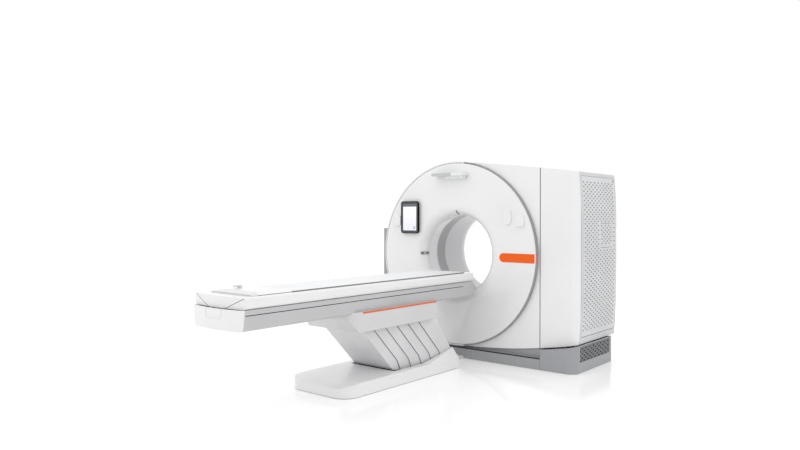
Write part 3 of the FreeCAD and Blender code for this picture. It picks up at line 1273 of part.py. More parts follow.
def table_trough():
    """Long table body, open on top, with an inward top flange and a bevelled nose."""
    outer = trough_form(0, TROUGH_HEAD_Y, TROUGH_FOOT_Y)
    nose = prism_x([(-470, TROUGH_TOP_Z + 1), (-384, 642), (-300, 642), (-300, TROUGH_TOP_Z + 1)], -300, 300)
    chin = prism_x([(-384, 641), (-430, TROUGH_LOW_Z - 1), (-300, TROUGH_LOW_Z - 1), (-300, 641)], -300, 300)
    outer = outer.cut(nose).cut(chin)
    inner = trough_form(PANEL, TROUGH_HEAD_Y - 90, TROUGH_FOOT_Y - 1)
    shell = outer.cut(inner)
    flange = trough_form(1, -480, TROUGH_FOOT_Y).common(box(-300, 300, -3000, 0, TROUGH_TOP_Z - 4, TROUGH_TOP_Z))
    flange = flange.cut(box(-212, 212, -3000, 0, 600, 800))
    nose_in = prism_x([(-476, TROUGH_TOP_Z - 6), (-394, 640), (-437, TROUGH_LOW_Z + PANEL),
                       (-476, TROUGH_LOW_Z + PANEL)], -228, 228)
    shell = fuse([shell, flange]).cut(nose_in)
    slots = []
    for side in (-1, 1):
        a, b = sorted((side * (LAMELLA_X - 3), side * (LAMELLA_X + LAMELLA_STEP * 6 + 3)))
        slots.append(box(a, b, HOUSING_FOOT_Y + 20, HOUSING_HEAD_Y + 30, TROUGH_LOW_Z - 1, TROUGH_LOW_Z + 7))
    shell = shell.cut(Part.makeCompound(slots))
    line_cut = trough_form(0, -600, -2896).cut(trough_form(2, -599, -2897)).common(
        box(-300, 300, -3000, 0, 667, 672))
    return shell.cut(line_cut)


def plan_block(a, b, c, y, inset):
    """Block seen from above: a bowed foot end through three points, and straight sides to y."""
    edges = [
        arc((a[0], a[1] + inset, 0), (b[0], b[1] + inset, 0), (c[0], c[1] + inset, 0)),
        line((c[0], c[1] + inset, 0), (c[0], y + 6, 0)),
        line((c[0], y + 6, 0), (a[0], y + 6, 0)),
        line((a[0], y + 6, 0), (a[0], a[1] + inset, 0)),
    ]
    wire = wire_of(edges)
    wire.translate(Vec(0, 0, 500))
    return Part.Face(wire).extrude(Vec(0, 0, 300))


def foot_end_cap():
    """Bowed cap that closes the trough's foot end, with a shallow line around its hand tab."""
    y = TROUGH_FOOT_Y
    section = trough_form(0, y, y - 80)
    half = TROUGH_TOP_HALF + 30
    a, b, c = (-half, y - 8), (0, y - 18 - END_CAP_BOW), (half, y - 8)
    cap = section.common(plan_block(a, b, c, y, 0))
    inner = plan_block(a, b, c, y, 6).common(trough_form(PANEL, y + 1, y - 60))
    grip = prism_y([(-88, TROUGH_TOP_Z + 1), (88, TROUGH_TOP_Z + 1), (82, 648), (70, 640), (-70, 640),
                    (-82, 648)], y - 80, y - 30)
    tab = prism_y([(-76, 715), (76, 715), (70, 656), (-70, 656)], y - 90, y - 20)
    groove_ring = grip.cut(tab).cut(plan_block(a, b, c, y, 2.5))
    return cap.cut(inner).cut(groove_ring)


def tabletop():
    """Sliding patient top: thin-walled board with raised borders and rounded long sides."""
    low, half, z0, z1 = TOP_LOW_HALF, TOP_HALF, TOP_LOW_Z, TOP_HIGH_Z
    edges = [
        line((-low, 0, z0), (low, 0, z0)),
        arc((low, 0, z0), (half - 6, 0, z0 + 14), (half, 0, z0 + 36)),
        line((half, 0, z0 + 36), (half, 0, z1 - 16)),
        arc((half, 0, z1 - 16), (half - 5, 0, z1 - 5), (half - 16, 0, z1)),
        line((half - 16, 0, z1), (-half + 16, 0, z1)),
        arc((-half + 16, 0, z1), (-half + 5, 0, z1 - 5), (-half, 0, z1 - 16)),
        line((-half, 0, z1 - 16), (-half, 0, z0 + 36)),
        arc((-half, 0, z0 + 36), (-half + 6, 0, z0 + 14), (-low, 0, z0)),
    ]
    wire = wire_of(edges)
    wire.translate(Vec(0, TOP_FOOT_Y, 0))
    board = Part.Face(wire).extrude(Vec(0, TOP_HEAD_Y - TOP_FOOT_Y, 0))
    plan_edges = [
        arc((-half, TOP_FOOT_Y + 26, 0), (0, TOP_FOOT_Y, 0), (half, TOP_FOOT_Y + 26, 0)),
        line((half, TOP_FOOT_Y + 26, 0), (half, TOP_HEAD_Y - 50, 0)),
        arc((half, TOP_HEAD_Y - 50, 0), (half - 15, TOP_HEAD_Y - 15, 0), (half - 50, TOP_HEAD_Y, 0)),
        line((half - 50, TOP_HEAD_Y, 0), (-half + 50, TOP_HEAD_Y, 0)),
        arc((-half + 50, TOP_HEAD_Y, 0), (-half + 15, TOP_HEAD_Y - 15, 0), (-half, TOP_HEAD_Y - 50, 0)),
        line((-half, TOP_HEAD_Y - 50, 0), (-half, TOP_FOOT_Y + 26, 0)),
    ]
    plan = Part.Face(wire_of(plan_edges)).extrude(Vec(0, 0, 1000))
    board = board.common(plan)
    under = box(-low + 14, low - 14, TOP_FOOT_Y + 60, TOP_HEAD_Y - 60, z0 - 1, z1 - 24)
    bed = rounded_block(-MAT_HALF - 6, MAT_HALF + 6, MAT_FOOT_Y - 320, MAT_HEAD_Y + 10,
                        MAT_TOP_Z - MAT_THICK, z1 + 1, [8, 8, 8, 8])
    return board.cut(under).cut(bed)


def table_mat():
    """Thin pad in the bed of the top, standing a little above its border."""
    return rounded_block(-MAT_HALF, MAT_HALF, MAT_FOOT_Y, MAT_HEAD_Y, MAT_TOP_Z - MAT_THICK, MAT_TOP_Z,
                         [16, 16, 16, 16])


KNOB_X = -130.0
KNOB_Y = -2650.0
COVER_TOP = 800.0


def foot_cover():
    """Raised cover on the foot end of the top, low at both ends, with a bevelled rim."""
    z0 = MAT_TOP_Z - MAT_THICK
    y0, y1 = MAT_FOOT_Y - 318, MAT_FOOT_Y - 2
    profile = prism_x([(y0, z0), (y1, z0), (y1, z0 + 22), (y1 - 40, COVER_TOP), (y0 + 60, COVER_TOP),
                       (y0, z0 + 20)], -MAT_HALF, MAT_HALF)
    cross = prism_y([(-MAT_HALF, z0), (MAT_HALF, z0), (MAT_HALF, z0 + 14), (MAT_HALF - 50, COVER_TOP),
                     (-MAT_HALF + 50, COVER_TOP), (-MAT_HALF, z0 + 14)], y0 - 1, y1 + 1)
    cover = profile.common(cross)
    post = cylinder("z", 6, COVER_TOP - 20, COVER_TOP + 10, KNOB_X, KNOB_Y)
    return fuse([cover, post])


def release_knob():
    """Small turning handle on the foot cover that releases the sliding top."""
    x = KNOB_X
    hub = cylinder("z", 16, COVER_TOP + FIT, COVER_TOP + 16, x, KNOB_Y)
    lever = rounded_block(x - 9, x + 9, KNOB_Y - 52, KNOB_Y + 10, COVER_TOP + 6, COVER_TOP + 16, [8, 8, 8, 8])
    knob = fuse([hub, lever])
    return knob.cut(cylinder("z", 6 + RUNNING, COVER_TOP - 5, COVER_TOP + 10.5, x, KNOB_Y))


def cable_duct():
    """Low floor duct that bridges the table's foot and the gantry base."""
    y0, y1 = PEDESTAL_HEAD_Y + SEAT, BASE_FRONT_Y - SEAT
    outer = prism_y([(-110, 0), (110, 0), (96, 26), (-96, 26)], y0, y1)
    inner = prism_y([(-100, -1), (100, -1), (90, 21), (-90, 21)], y0 - 1, y1 + 1)
    return outer.cut(inner)


# ---------------------------------------------------------------- build
def build_gantry():
    surround, cabinet, top, rear, side = covers()
    side = fuse([side] + hinge_brackets())
    windows = laser_boxes()
    disc = front_disc()
    lasers = [disc.common(w) for w in windows]
    for w in windows:
        disc = disc.cut(w)
    door, hatch = door_and_hatch()
    oval, buttons = control_parts()
    case, glass = tablet_parts()
    outer, inner, balls = bearing()
    save("base_frame", base_frame())
    save("base_plinth", base_plinth())
    save("base_grille", base_grille())
    save("cover_screws", screw_set(0.0))
    save("front_surround", surround)
    save("cabinet_cover", cabinet)
    save("rear_cover", rear)
    save("top_cover", top)
    save("front_disc", disc)
    save("disc_trim_ring", ring(DISC_RADIUS + FIT, RING_RADIUS, DISC_FACE_Y + 2, BODY_FRONT_Y))
    save("scan_window", ring(BORE_RADIUS, BORE_RADIUS + LINER, WINDOW_FRONT_Y, WINDOW_REAR_Y))
    save("rear_funnel", rear_funnel())
    save("side_frame", side)
    save("side_door", door)
    save("service_hatch", hatch)
    save("door_lock", door_lock())
    save("left_side_cover", left_side_cover())
    save("display_hood", display_hood())
    save("orange_strip", orange_strip())
    save("control_bezel", oval)
    save("control_button_left", buttons[1])
    save("control_button_right", buttons[0])
    save("tablet_case", case)
    save("tablet_screen", glass)
    save("side_docks", Part.makeCompound(side_docks()))
    save("laser_windows", Part.makeCompound(lasers))
    save("stator_frame", stator_frame())
    save("bearing_outer_race", outer)
    save("bearing_inner_race", inner)
    save("bearing_balls", balls)
    save("rotor_drum", rotor_drum())
    save("xray_tube", xray_tube())
    save("detector_arc", detector_arc())
    save("high_voltage_generator", generator_modules())
    save("slip_ring", slip_ring())
    save("brush_block", brush_block())
    save("drive_motor", drive_motor())
    save("motor_pulley", motor_pulley())
    save("drive_belt", drive_belt())
    save("power_cabinet", power_cabinet())


def build_table():
    save("table_base", table_base())
    save("pedestal_cover", pedestal_cover())
    save("lift_arm_front", lift_arm(ARM_FRONT_Y, False))
    save("lift_arm_rear", lift_arm(ARM_REAR_Y, True))
    for index in range(6):
        save(f"lamella_{index + 1}", lamella(index))
    save("lift_motor", lift_motor())
    save("lift_carriage", lift_carriage())
    save("carriage_housing", carriage_housing())
    save("table_trough", table_trough())
    save("foot_end_cap", foot_end_cap())
    save("tabletop", tabletop())
    save("table_mat", table_mat())
    save("foot_cover", foot_cover())
    save("release_knob", release_knob())
    save("cable_duct", cable_duct())


build_gantry()
build_table()
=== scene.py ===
import logging
import math
from dataclasses import dataclass, field
from enum import Enum
from typing import Any, Iterable, Optional, Sequence, Union

import bmesh
import bpy
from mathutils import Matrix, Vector


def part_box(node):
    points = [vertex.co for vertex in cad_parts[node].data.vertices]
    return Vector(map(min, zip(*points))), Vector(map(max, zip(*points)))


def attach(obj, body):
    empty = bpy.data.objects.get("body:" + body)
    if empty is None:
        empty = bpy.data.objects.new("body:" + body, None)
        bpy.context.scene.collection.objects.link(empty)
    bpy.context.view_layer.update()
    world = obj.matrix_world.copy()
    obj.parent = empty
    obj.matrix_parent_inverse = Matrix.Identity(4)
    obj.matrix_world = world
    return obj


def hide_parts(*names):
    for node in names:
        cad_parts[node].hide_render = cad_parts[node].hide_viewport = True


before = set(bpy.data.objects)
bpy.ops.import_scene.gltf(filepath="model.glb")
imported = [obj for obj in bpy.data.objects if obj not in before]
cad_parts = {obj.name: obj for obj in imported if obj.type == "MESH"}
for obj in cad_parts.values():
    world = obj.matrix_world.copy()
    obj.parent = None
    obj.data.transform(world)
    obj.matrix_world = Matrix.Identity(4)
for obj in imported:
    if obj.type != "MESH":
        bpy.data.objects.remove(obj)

log = logging.getLogger("ring_scanner")

Colour = tuple[float, float, float]
Point = tuple[float, float, float]
Point2 = tuple[float, float]
Range = tuple[float, float]
Number = Union[float, "Wire"]

ISO_HEIGHT = 0.934      # bore axis above the floor
FAR = 9.0               # beyond every surface
ALL: Range = (-FAR, FAR)
SOFT_EDGE = 0.0004      # half the width of a painted edge
NOISE_GAIN = 0.55       # how strong the finer octaves of a noise are


# ---------------------------------------------------------------- shader writing
@dataclass(frozen=True)
class Wire:
    """One output of a shader tree. Arithmetic on it adds Math nodes."""

    shader: "Shader"
    socket: bpy.types.NodeSocket

    def __add__(self, other: Number) -> "Wire":
        """Sum."""
        return self.shader.maths("ADD", self, other)

    def __radd__(self, other: Number) -> "Wire":
        """Sum with the number first."""
        return self.shader.maths("ADD", other, self)

    def __sub__(self, other: Number) -> "Wire":
        """Difference."""
        return self.shader.maths("SUBTRACT", self, other)

    def __rsub__(self, other: Number) -> "Wire":
        """Difference with the number first."""
        return self.shader.maths("SUBTRACT", other, self)

    def __mul__(self, other: Number) -> "Wire":
        """Product."""
        return self.shader.maths("MULTIPLY", self, other)

    def __rmul__(self, other: Number) -> "Wire":
        """Product with the number first."""
        return self.shader.maths("MULTIPLY", other, self)

    def __pow__(self, other: Number) -> "Wire":
        """Power."""
        return self.shader.maths("POWER", self, other)

    def __abs__(self) -> "Wire":
        """Distance from zero."""
        return self.shader.maths("ABSOLUTE", self)

    def __lt__(self, other: Number) -> "Wire":
        """One where this is smaller, else zero."""
        return self.shader.maths("LESS_THAN", self, other)

    def __gt__(self, other: Number) -> "Wire":
        """One where this is larger, else zero."""
        return self.shader.maths("GREATER_THAN", self, other)

    def root(self) -> "Wire":
        """Square root."""
        return self.shader.maths("SQRT", self)

    def sine(self) -> "Wire":
        """Sine."""
        return self.shader.maths("SINE", self)

    def fold(self, step: float) -> "Wire":
        """Distance to the nearest multiple of a step."""
        return self.shader.maths("PINGPONG", self, step / 2)

    def ease(self, low: float, high: float) -> "Wire":
        """Rise smoothly between two values.

        Args:
            low: where the result is still zero.
            high: where it has reached one.

        Returns:
            The new wire.
        """
        node = self.shader.node("ShaderNodeMapRange", {"interpolation_type": "SMOOTHSTEP"},
                                {"Value": self, "From Min": low, "From Max": high})
        return self.shader.wire(node, "Result")

    def within(self, low: float, high: float, edge: float = SOFT_EDGE) -> "Wire":
        """One between two values, with soft edges."""
        return self.ease(low - edge, low + edge) * (1 - self.ease(high - edge, high + edge))


class Tree:
    """A node tree with one way to add a node."""

    tree: bpy.types.NodeTree

    def node(self, kind: str, settings: Optional[dict[str, Any]] = None,
             inputs: Optional[dict[Union[str, int], Any]] = None) -> bpy.types.Node:
        """Add one node.

        Args:
            kind: the node's type.
            settings: its properties, which are set first.
            inputs: what feeds its sockets, by name or number.

        Returns:
            The node.
        """
        made = self.tree.nodes.new(kind)
        for key, value in (settings or {}).items():
            setattr(made, key, value)
        for key, value in (inputs or {}).items():
            self.feed(made.inputs[key], value)
        return made

    def feed(self, socket: bpy.types.NodeSocket, value: Any) -> None:
        """Set a socket, or link it.

        Args:
            socket: the input socket.
            value: a wire or a socket to link, or a number, a vector or a colour.
        """
        if isinstance(value, Wire):
            value = value.socket
        if isinstance(value, bpy.types.NodeSocket):
            self.tree.links.new(value, socket)
        elif isinstance(value, tuple) and socket.type == "RGBA" and len(value) == 3:
            socket.default_value = (*value, 1.0)
        else:
            socket.default_value = value


class Shader(Tree):
    """A material's node tree around one Principled shader."""

    def __init__(self, name: str) -> None:
        """Start an empty material.

        Args:
            name: the material's name.
        """
        self.material = bpy.data.materials.new(name)
        self.material.use_nodes = True
        self.tree = self.material.node_tree
        self.tree.nodes.clear()
        self.surface = self.node("ShaderNodeBsdfPrincipled")
        end = self.node("ShaderNodeOutputMaterial")
        self.tree.links.new(self.surface.outputs["BSDF"], end.inputs["Surface"])
        self._coords: Optional[bpy.types.Node] = None

    def wire(self, made: bpy.types.Node, output: Union[str, int] = 0) -> Wire:
        """Name one output of a node as a wire."""
        return Wire(self, made.outputs[output])

    def maths(self, operation: str, *values: Number) -> Wire:
        """Add a Math node."""
        made = self.node("ShaderNodeMath", {"operation": operation}, dict(enumerate(values)))
        return self.wire(made)

    def coords(self) -> Wire:
        """Find the surface point in the object's own coordinates.

        Returns:
            A vector wire.
        """
        if self._coords is None:
            self._coords = self.node("ShaderNodeTexCoord")
        return self.wire(self._coords, "Object")

    def axes(self) -> tuple[Wire, Wire, Wire]:
        """The three coordinates of the surface point."""
        made = self.node("ShaderNodeSeparateXYZ", inputs={0: self.coords()})
        return self.wire(made, 0), self.wire(made, 1), self.wire(made, 2)

    def noise(self, scale: float, detail: float = 2.0, stretch: Point = (1.0, 1.0, 1.0)) -> Wire:
        """Cloudy values about one half.

        Args:
            scale: spots per metre.
            detail: octaves.
            stretch: factors on the three axes.

        Returns:
            A wire from zero to one.
        """
        mapped = self.node("ShaderNodeMapping", {}, {"Vector": self.coords(), "Scale": stretch})
        made = self.node("ShaderNodeTexNoise", {}, {"Vector": self.wire(mapped), "Scale": scale,
                                                    "Detail": detail, "Roughness": NOISE_GAIN})
        return self.wire(made, 0)

    def radius(self, centre: Point2 = (0.0, ISO_HEIGHT)) -> Wire:
        """Distance of the surface point from a line along Y, which is the bore axis if none is given."""
        x, _, z = self.axes()
        return ((x - centre[0]) ** 2.0 + (z - centre[1]) ** 2.0).root()

    def blend(self, factor: Number, first: Any, second: Any) -> Wire:
        """Mix two colours."""
        made = self.node("ShaderNodeMix", {"data_type": "RGBA"}, {0: factor, 6: first, 7: second})
        return self.wire(made, 2)

    def bump(self, height: Wire, distance: float, strength: float = 1.0) -> None:
        """Feed the surface normal from a height.

        Args:
            height: the height, from zero to one.
            distance: what a height of one stands for, in metres.
            strength: how much of it shows.
        """
        made = self.node("ShaderNodeBump", {}, {"Height": height, "Distance": distance,
                                                "Strength": strength})
        self.feed(self.surface.inputs["Normal"], self.wire(made))

    def put(self, **sockets: Any) -> None:
        """Set sockets of the Principled shader; an underscore stands for a space."""
        for key, value in sockets.items():
            self.feed(self.surface.inputs[key.replace("_", " ")], value)


# ---------------------------------------------------------------- marks on a surface
@dataclass(frozen=True)
class Mark:
    """A drawn line or area; each kind has its own mask."""

    colour: Colour
    dip: float = 0.0

    def mask(self, shader: Shader) -> Wire:
        """Where the mark is, from zero to one."""
        raise NotImplementedError


@dataclass(frozen=True)
class Block(Mark):
    """Everything between two values along one axis or more."""

    x: Range = ALL
    y: Range = ALL
    z: Range = ALL
    edge: float = 0.0005

    def mask(self, shader: Shader) -> Wire:
        """Find the place of the block.

        Args:
            shader: the tree to write in.

        Returns:
            One inside, as the product of its bands.
        """
        bands = [value.within(*limits, self.edge)
                 for value, limits in zip(shader.axes(), (self.x, self.y, self.z)) if limits != ALL]
        found = bands[0]
        for band in bands[1:]:
            found = found * band
        return found


@dataclass(frozen=True)
class Disc(Mark):
    """Small round caps on a face across the Y axis."""

    centres: tuple[Point2, ...] = ()
    radius: float = 0.008
    ring: bool = False
    rim: float = 0.0009

    def mask(self, shader: Shader) -> Wire:
        """Find the place of the caps.

        Args:
            shader: the tree to write in.

        Returns:
            One inside every cap, or on its rim only.
        """
        spots = []
        for centre in self.centres:
            reach = shader.radius(centre)
            if self.ring:
                spots.append(reach.within(self.radius - self.rim, self.radius + self.rim))
            else:
                spots.append(1 - reach.ease(self.radius - SOFT_EDGE, self.radius + SOFT_EDGE))
        total = spots[0]
        for spot in spots[1:]:
            total = shader.maths("MAXIMUM", total, spot)
        return total


@dataclass(frozen=True)
class Vee(Mark):
    """Two mirrored straight lines seen along the Y axis, from start to end as (x, z)."""

    start: Point2 = (0.0, 0.0)
    end: Point2 = (1.0, 1.0)
    width: float = 0.002
    until_y: float = 0.0
    core: float = 0.4
    fade: float = 0.8

    def mask(self, shader: Shader) -> Wire:
        """Find the place of the two lines.

        Args:
            shader: the tree to write in.

        Returns:
            One near the line on either side.
        """
        x, y, z = shader.axes()
        side = abs(x)
        (x0, z0), (x1, z1) = self.start, self.end
        length = math.hypot(x1 - x0, z1 - z0)
        ux, uz = (x1 - x0) / length, (z1 - z0) / length
        along = (side - x0) * ux + (z - z0) * uz
        off = abs((side - x0) * uz - (z - z0) * ux)
        line = 1 - off.ease(self.width * self.core, self.width * self.fade)
        return line * along.within(0.0, length, 0.001) * (y < self.until_y)


# ---------------------------------------------------------------- finishes
def shaded(colour: Colour, factor: float, lift: float = 0.0) -> Colour:
    """A colour made darker by a factor and paler by a lift."""
    red, green, blue = colour
    return red * factor + lift, green * factor + lift, blue * factor + lift


@dataclass(frozen=True)
class Finish:
    """What every finish has."""

    name: str
    colour: Colour

    def paint(self) -> bpy.types.Material:
        """Make the material."""
        shader = Shader(self.name)
        self.write(shader)
        return shader.material

    def write(self, shader: Shader) -> None:
        """Write the finish into a material's tree."""
        raise NotImplementedError

    @staticmethod
    def tinted(shader: Shader, base: Any, marks: Iterable[Mark]) -> tuple[Any, Optional[Wire]]:
        """Lay marks over a base colour.

        Args:
            shader: the tree to write in.
            base: colour or wire below the marks.
            marks: the marks, the last one on top.

        Returns:
            The new colour, and the height that the marks take away.
        """
        drop: Optional[Wire] = None
        for mark in marks:
            mask = mark.mask(shader)
            base = shader.blend(mask, base, mark.colour)
            if mark.dip:
                part = mask * mark.dip
                drop = part if drop is None else drop + part
        return base, drop


@dataclass(frozen=True)
class MouldedShell(Finish):
    """Lacquered moulded cover: glossy, with a faint orange peel and soft handling marks."""

    roughness: float = 0.22
    coat: float = 0.6
    specular: float = 0.5
    peel: float = 0.00005
    marks: tuple[Mark, ...] = ()
    cloud_scale: float = 1.7
    cloud_shade: float = 0.965
    grain_scale: float = 260.0
    peel_scale: float = 34.0
    smear_scale: float = 9.0
    smear_dulling: float = 0.07

    def write(self, shader: Shader) -> None:
        """Write the lacquered material.

        Args:
            shader: the tree to write in.
        """
        cloud = shader.noise(self.cloud_scale, 3.0).ease(0.35, 0.75)
        grain = shader.noise(self.grain_scale, 2.0)
        base: Any = shader.blend(cloud, self.colour, shaded(self.colour, self.cloud_shade))
        base, drop = self.tinted(shader, base, self.marks)
        smear = shader.noise(self.smear_scale, 4.0, (1.0, 1.0, 2.6)).ease(0.45, 0.8)
        height = grain * 0.5 + shader.noise(self.peel_scale, 1.0) * 0.5
        if drop is not None:
            height = height - drop
        shader.bump(height, self.peel, 0.6)
        shader.put(Base_Color=base, Roughness=smear * self.smear_dulling + (self.roughness - 0.02),
                   Coat_Weight=self.coat, Coat_Roughness=0.06, Specular_IOR_Level=self.specular)


@dataclass(frozen=True)
class PowderCoat(Finish):
    """Powder-coated sheet metal: satin, with a fine even grain."""

    roughness: float = 0.45
    grain: float = 0.00012
    pebble_scale: float = 900.0
    worn_scale: float = 3.0
    worn_shade: float = 0.93

    def write(self, shader: Shader) -> None:
        """Write the powder-coated material.

        Args:
            shader: the tree to write in.
        """
        pebble = shader.node("ShaderNodeTexVoronoi", {"feature": "SMOOTH_F1"},
                             {"Vector": shader.coords(), "Scale": self.pebble_scale, "Smoothness": 1.0})
        worn = shader.noise(self.worn_scale, 4.0).ease(0.4, 0.8)
        base = shader.blend(worn, self.colour, shaded(self.colour, self.worn_shade))
        shader.bump(shader.wire(pebble, "Distance"), self.grain, 0.5)
        shader.put(Base_Color=base, Roughness=worn * 0.08 + self.roughness, Specular_IOR_Level=0.45)


@dataclass(frozen=True)
class SatinPlastic(Finish):
    """Unpainted moulded plastic with a spark-eroded texture and slightly paler rubbed spots."""

    roughness: float = 0.42
    texture: float = 0.00008
    marks: tuple[Mark, ...] = ()
    spark_scale: float = 620.0
    rub_scale: float = 5.0

    def write(self, shader: Shader) -> None:
        """Write the textured plastic.

        Args:
            shader: the tree to write in.
        """
        fine = shader.noise(self.spark_scale, 3.0)
        rub = shader.noise(self.rub_scale, 5.0).ease(0.55, 0.85)
        base: Any = shader.blend(rub * 0.6, self.colour, shaded(self.colour, 0.9, 0.04))
        base, drop = self.tinted(shader, base, self.marks)
        height = fine if drop is None else fine - drop
        shader.bump(height, self.texture, 0.7)
        shader.put(Base_Color=base, Roughness=fine * 0.12 + (self.roughness - 0.06) - rub * 0.05)


class Lay(Enum):
    """Direction of the tool marks on bare metal."""

    TURNED = 0
    BRUSHED_Y = 1
    BLASTED = 2


@dataclass(frozen=True)
class BareMetal(Finish):
    """Machined metal with tool marks, round the bore axis or straight."""

    roughness: float = 0.3
    lay: Lay = Lay.BLASTED
    depth: float = 0.00003
    groove: float = 5200.0
    waviness: float = 940.0
    brush_scale: float = 420.0
    blast_scale: float = 700.0
    stain_scale: float = 6.0
    stain_shade: float = 0.82

    def write(self, shader: Shader) -> None:
        """Write the bare metal.

        Args:
            shader: the tree to write in.
        """
        if self.lay is Lay.TURNED:
            reach = shader.radius()
            fine = (reach * self.groove).sine() * 0.5 + 0.5
            height = fine * 0.6 + (reach * self.waviness).sine() * 0.2
        elif self.lay is Lay.BRUSHED_Y:
            height = shader.noise(self.brush_scale, 3.0, (1.0, 0.02, 1.0))
        else:
            height = shader.noise(self.blast_scale, 2.0)
        stain = shader.noise(self.stain_scale, 5.0).ease(0.5, 0.85)
        base = shader.blend(stain, self.colour, shaded(self.colour, self.stain_shade))
        shader.bump(height, self.depth, 0.6)
        shader.put(Base_Color=base, Roughness=height * 0.08 + stain * 0.1 + (self.roughness - 0.04),
                   Metallic=1.0)


@dataclass(frozen=True)
class CastPaint(Finish):
    """Painted casting: coarse skin below a thin coat."""

    roughness: float = 0.5
    skin: float = 0.0004
    skin_scale: float = 120.0
    oil_scale: float = 7.0
    oil_shade: float = 0.8

    def write(self, shader: Shader) -> None:
        """Write the painted casting.

        Args:
            shader: the tree to write in.
        """
        coarse = shader.noise(self.skin_scale, 4.0)
        oil = shader.noise(self.oil_scale, 4.0).ease(0.5, 0.8)
        base = shader.blend(oil, self.colour, shaded(self.colour, self.oil_shade))
        shader.bump(coarse, self.skin, 0.6)
        shader.put(Base_Color=base, Roughness=coarse * 0.15 + (self.roughness - 0.08) - oil * 0.08)


@dataclass(frozen=True)
class BeltRubber(Finish):
    """Ribbed rubber belt with dusty flanks."""

    rib_pitch: float = 0.0032
    rib_slope: float = 600.0
    rib_depth: float = 0.0008
    dust_scale: float = 14.0

    def write(self, shader: Shader) -> None:
        """Write the belt's rubber.

        Args:
            shader: the tree to write in.
        """
        _, y, _ = shader.axes()
        ribs = y.fold(self.rib_pitch) * self.rib_slope
        dust = shader.noise(self.dust_scale, 5.0).ease(0.5, 0.8)
        base = shader.blend(dust, self.colour, shaded(self.colour, 1.0, 0.05))
        shader.bump(ribs, self.rib_depth, 0.7)
        shader.put(Base_Color=base, Roughness=dust * 0.15 + 0.6)


@dataclass(frozen=True)
class SlipTracks(Finish):
    """Insulating ring with bright brass tracks on its barrel."""

    insulator: Colour = (0.045, 0.05, 0.06)
    first: float = 0.096
    pitch: float = 0.012
    width: float = 0.006
    barrel: float = 0.399
    scratch: float = 21000.0
    scratch_depth: float = 0.00004

    def write(self, shader: Shader) -> None:
        """Write the slip ring's material: brass where the grooves are.

        Args:
            shader: the tree to write in.
        """
        _, y, _ = shader.axes()
        half = self.width / 2
        phase = (y - (self.first + half)).fold(self.pitch)
        track = 1 - phase.ease(half - SOFT_EDGE, half + SOFT_EDGE / 2)
        track = track * (y > self.first - 0.002) * (shader.radius() > self.barrel)
        lines = (y * self.scratch).sine() * 0.5 + 0.5
        base = shader.blend(track, self.insulator, self.colour)
        shader.bump(lines * track, self.scratch_depth, 0.6)
        shader.put(Base_Color=base, Metallic=track, Roughness=0.45 - track * 0.2 + lines * 0.04)


@dataclass(frozen=True)
class Display(Finish):
    """Lit tablet glass: a dark header, a pale page, four plain rows and a small tile."""

    page_x: Range = (-0.578, -0.419)
    page_z: Range = (1.138, 1.362)
    header: float = 0.026
    margin: float = 0.012
    tile_size: float = 0.024
    tile_rise: float = 0.014        # from the page's foot to the tile
    rows_rise: float = 0.1          # from the page's foot to the rows
    rows_drop: float = 0.02         # from the page's top to the rows
    row_pitch: float = 0.026
    row_half: float = 0.0011
    row_length: float = 0.073
    page_low: Colour = (0.80, 0.80, 0.93)
    page_high: Colour = (0.94, 0.94, 0.98)
    header_ink: Colour = (0.09, 0.10, 0.12)
    tile_ink: Colour = (0.42, 0.44, 0.50)
    row_ink: Colour = (0.66, 0.68, 0.78)
    light: float = 0.12

    def write(self, shader: Shader) -> None:
        """Write the lit glass.

        Args:
            shader: the tree to write in.
        """
        x, _, z = shader.axes()
        (x0, x1), (z0, z1) = self.page_x, self.page_z
        top = z1 + self.header
        page = x.within(x0, x1) * z.within(z0, top)
        header = x.within(x0, x1) * z.within(z1, top)
        tile_low = z0 + self.tile_rise
        tile = x.within(x1 - self.margin - self.tile_size, x1 - self.margin)
        tile = tile * z.within(tile_low, tile_low + self.tile_size)
        rows = x.within(x0 + self.margin, x0 + self.margin + self.row_length)
        rows = rows * (z.fold(self.row_pitch) < self.row_half)
        rows = rows * z.within(z0 + self.rows_rise, z1 - self.rows_drop)
        glow = shader.blend(z.ease(z0, z1), self.page_low, self.page_high)
        for place, ink in ((header, self.header_ink), (tile, self.tile_ink), (rows, self.row_ink)):
            glow = shader.blend(place, glow, ink)
        glow = shader.blend(page, self.colour, glow)
        shader.put(Base_Color=glow, Emission_Color=glow, Emission_Strength=self.light,
                   Roughness=shader.noise(24.0, 4.0) * 0.08 + 0.03, Coat_Weight=1.0, Coat_Roughness=0.03)


@dataclass(frozen=True)
class DarkGlass(Finish):
    """Tinted light window."""

    smear_scale: float = 60.0

    def write(self, shader: Shader) -> None:
        """Write the tinted glass.

        Args:
            shader: the tree to write in.
        """
        smear = shader.noise(self.smear_scale, 3.0)
        shader.put(Base_Color=self.colour, Roughness=smear * 0.08 + 0.03, Coat_Weight=1.0,
                   Coat_Roughness=0.02)


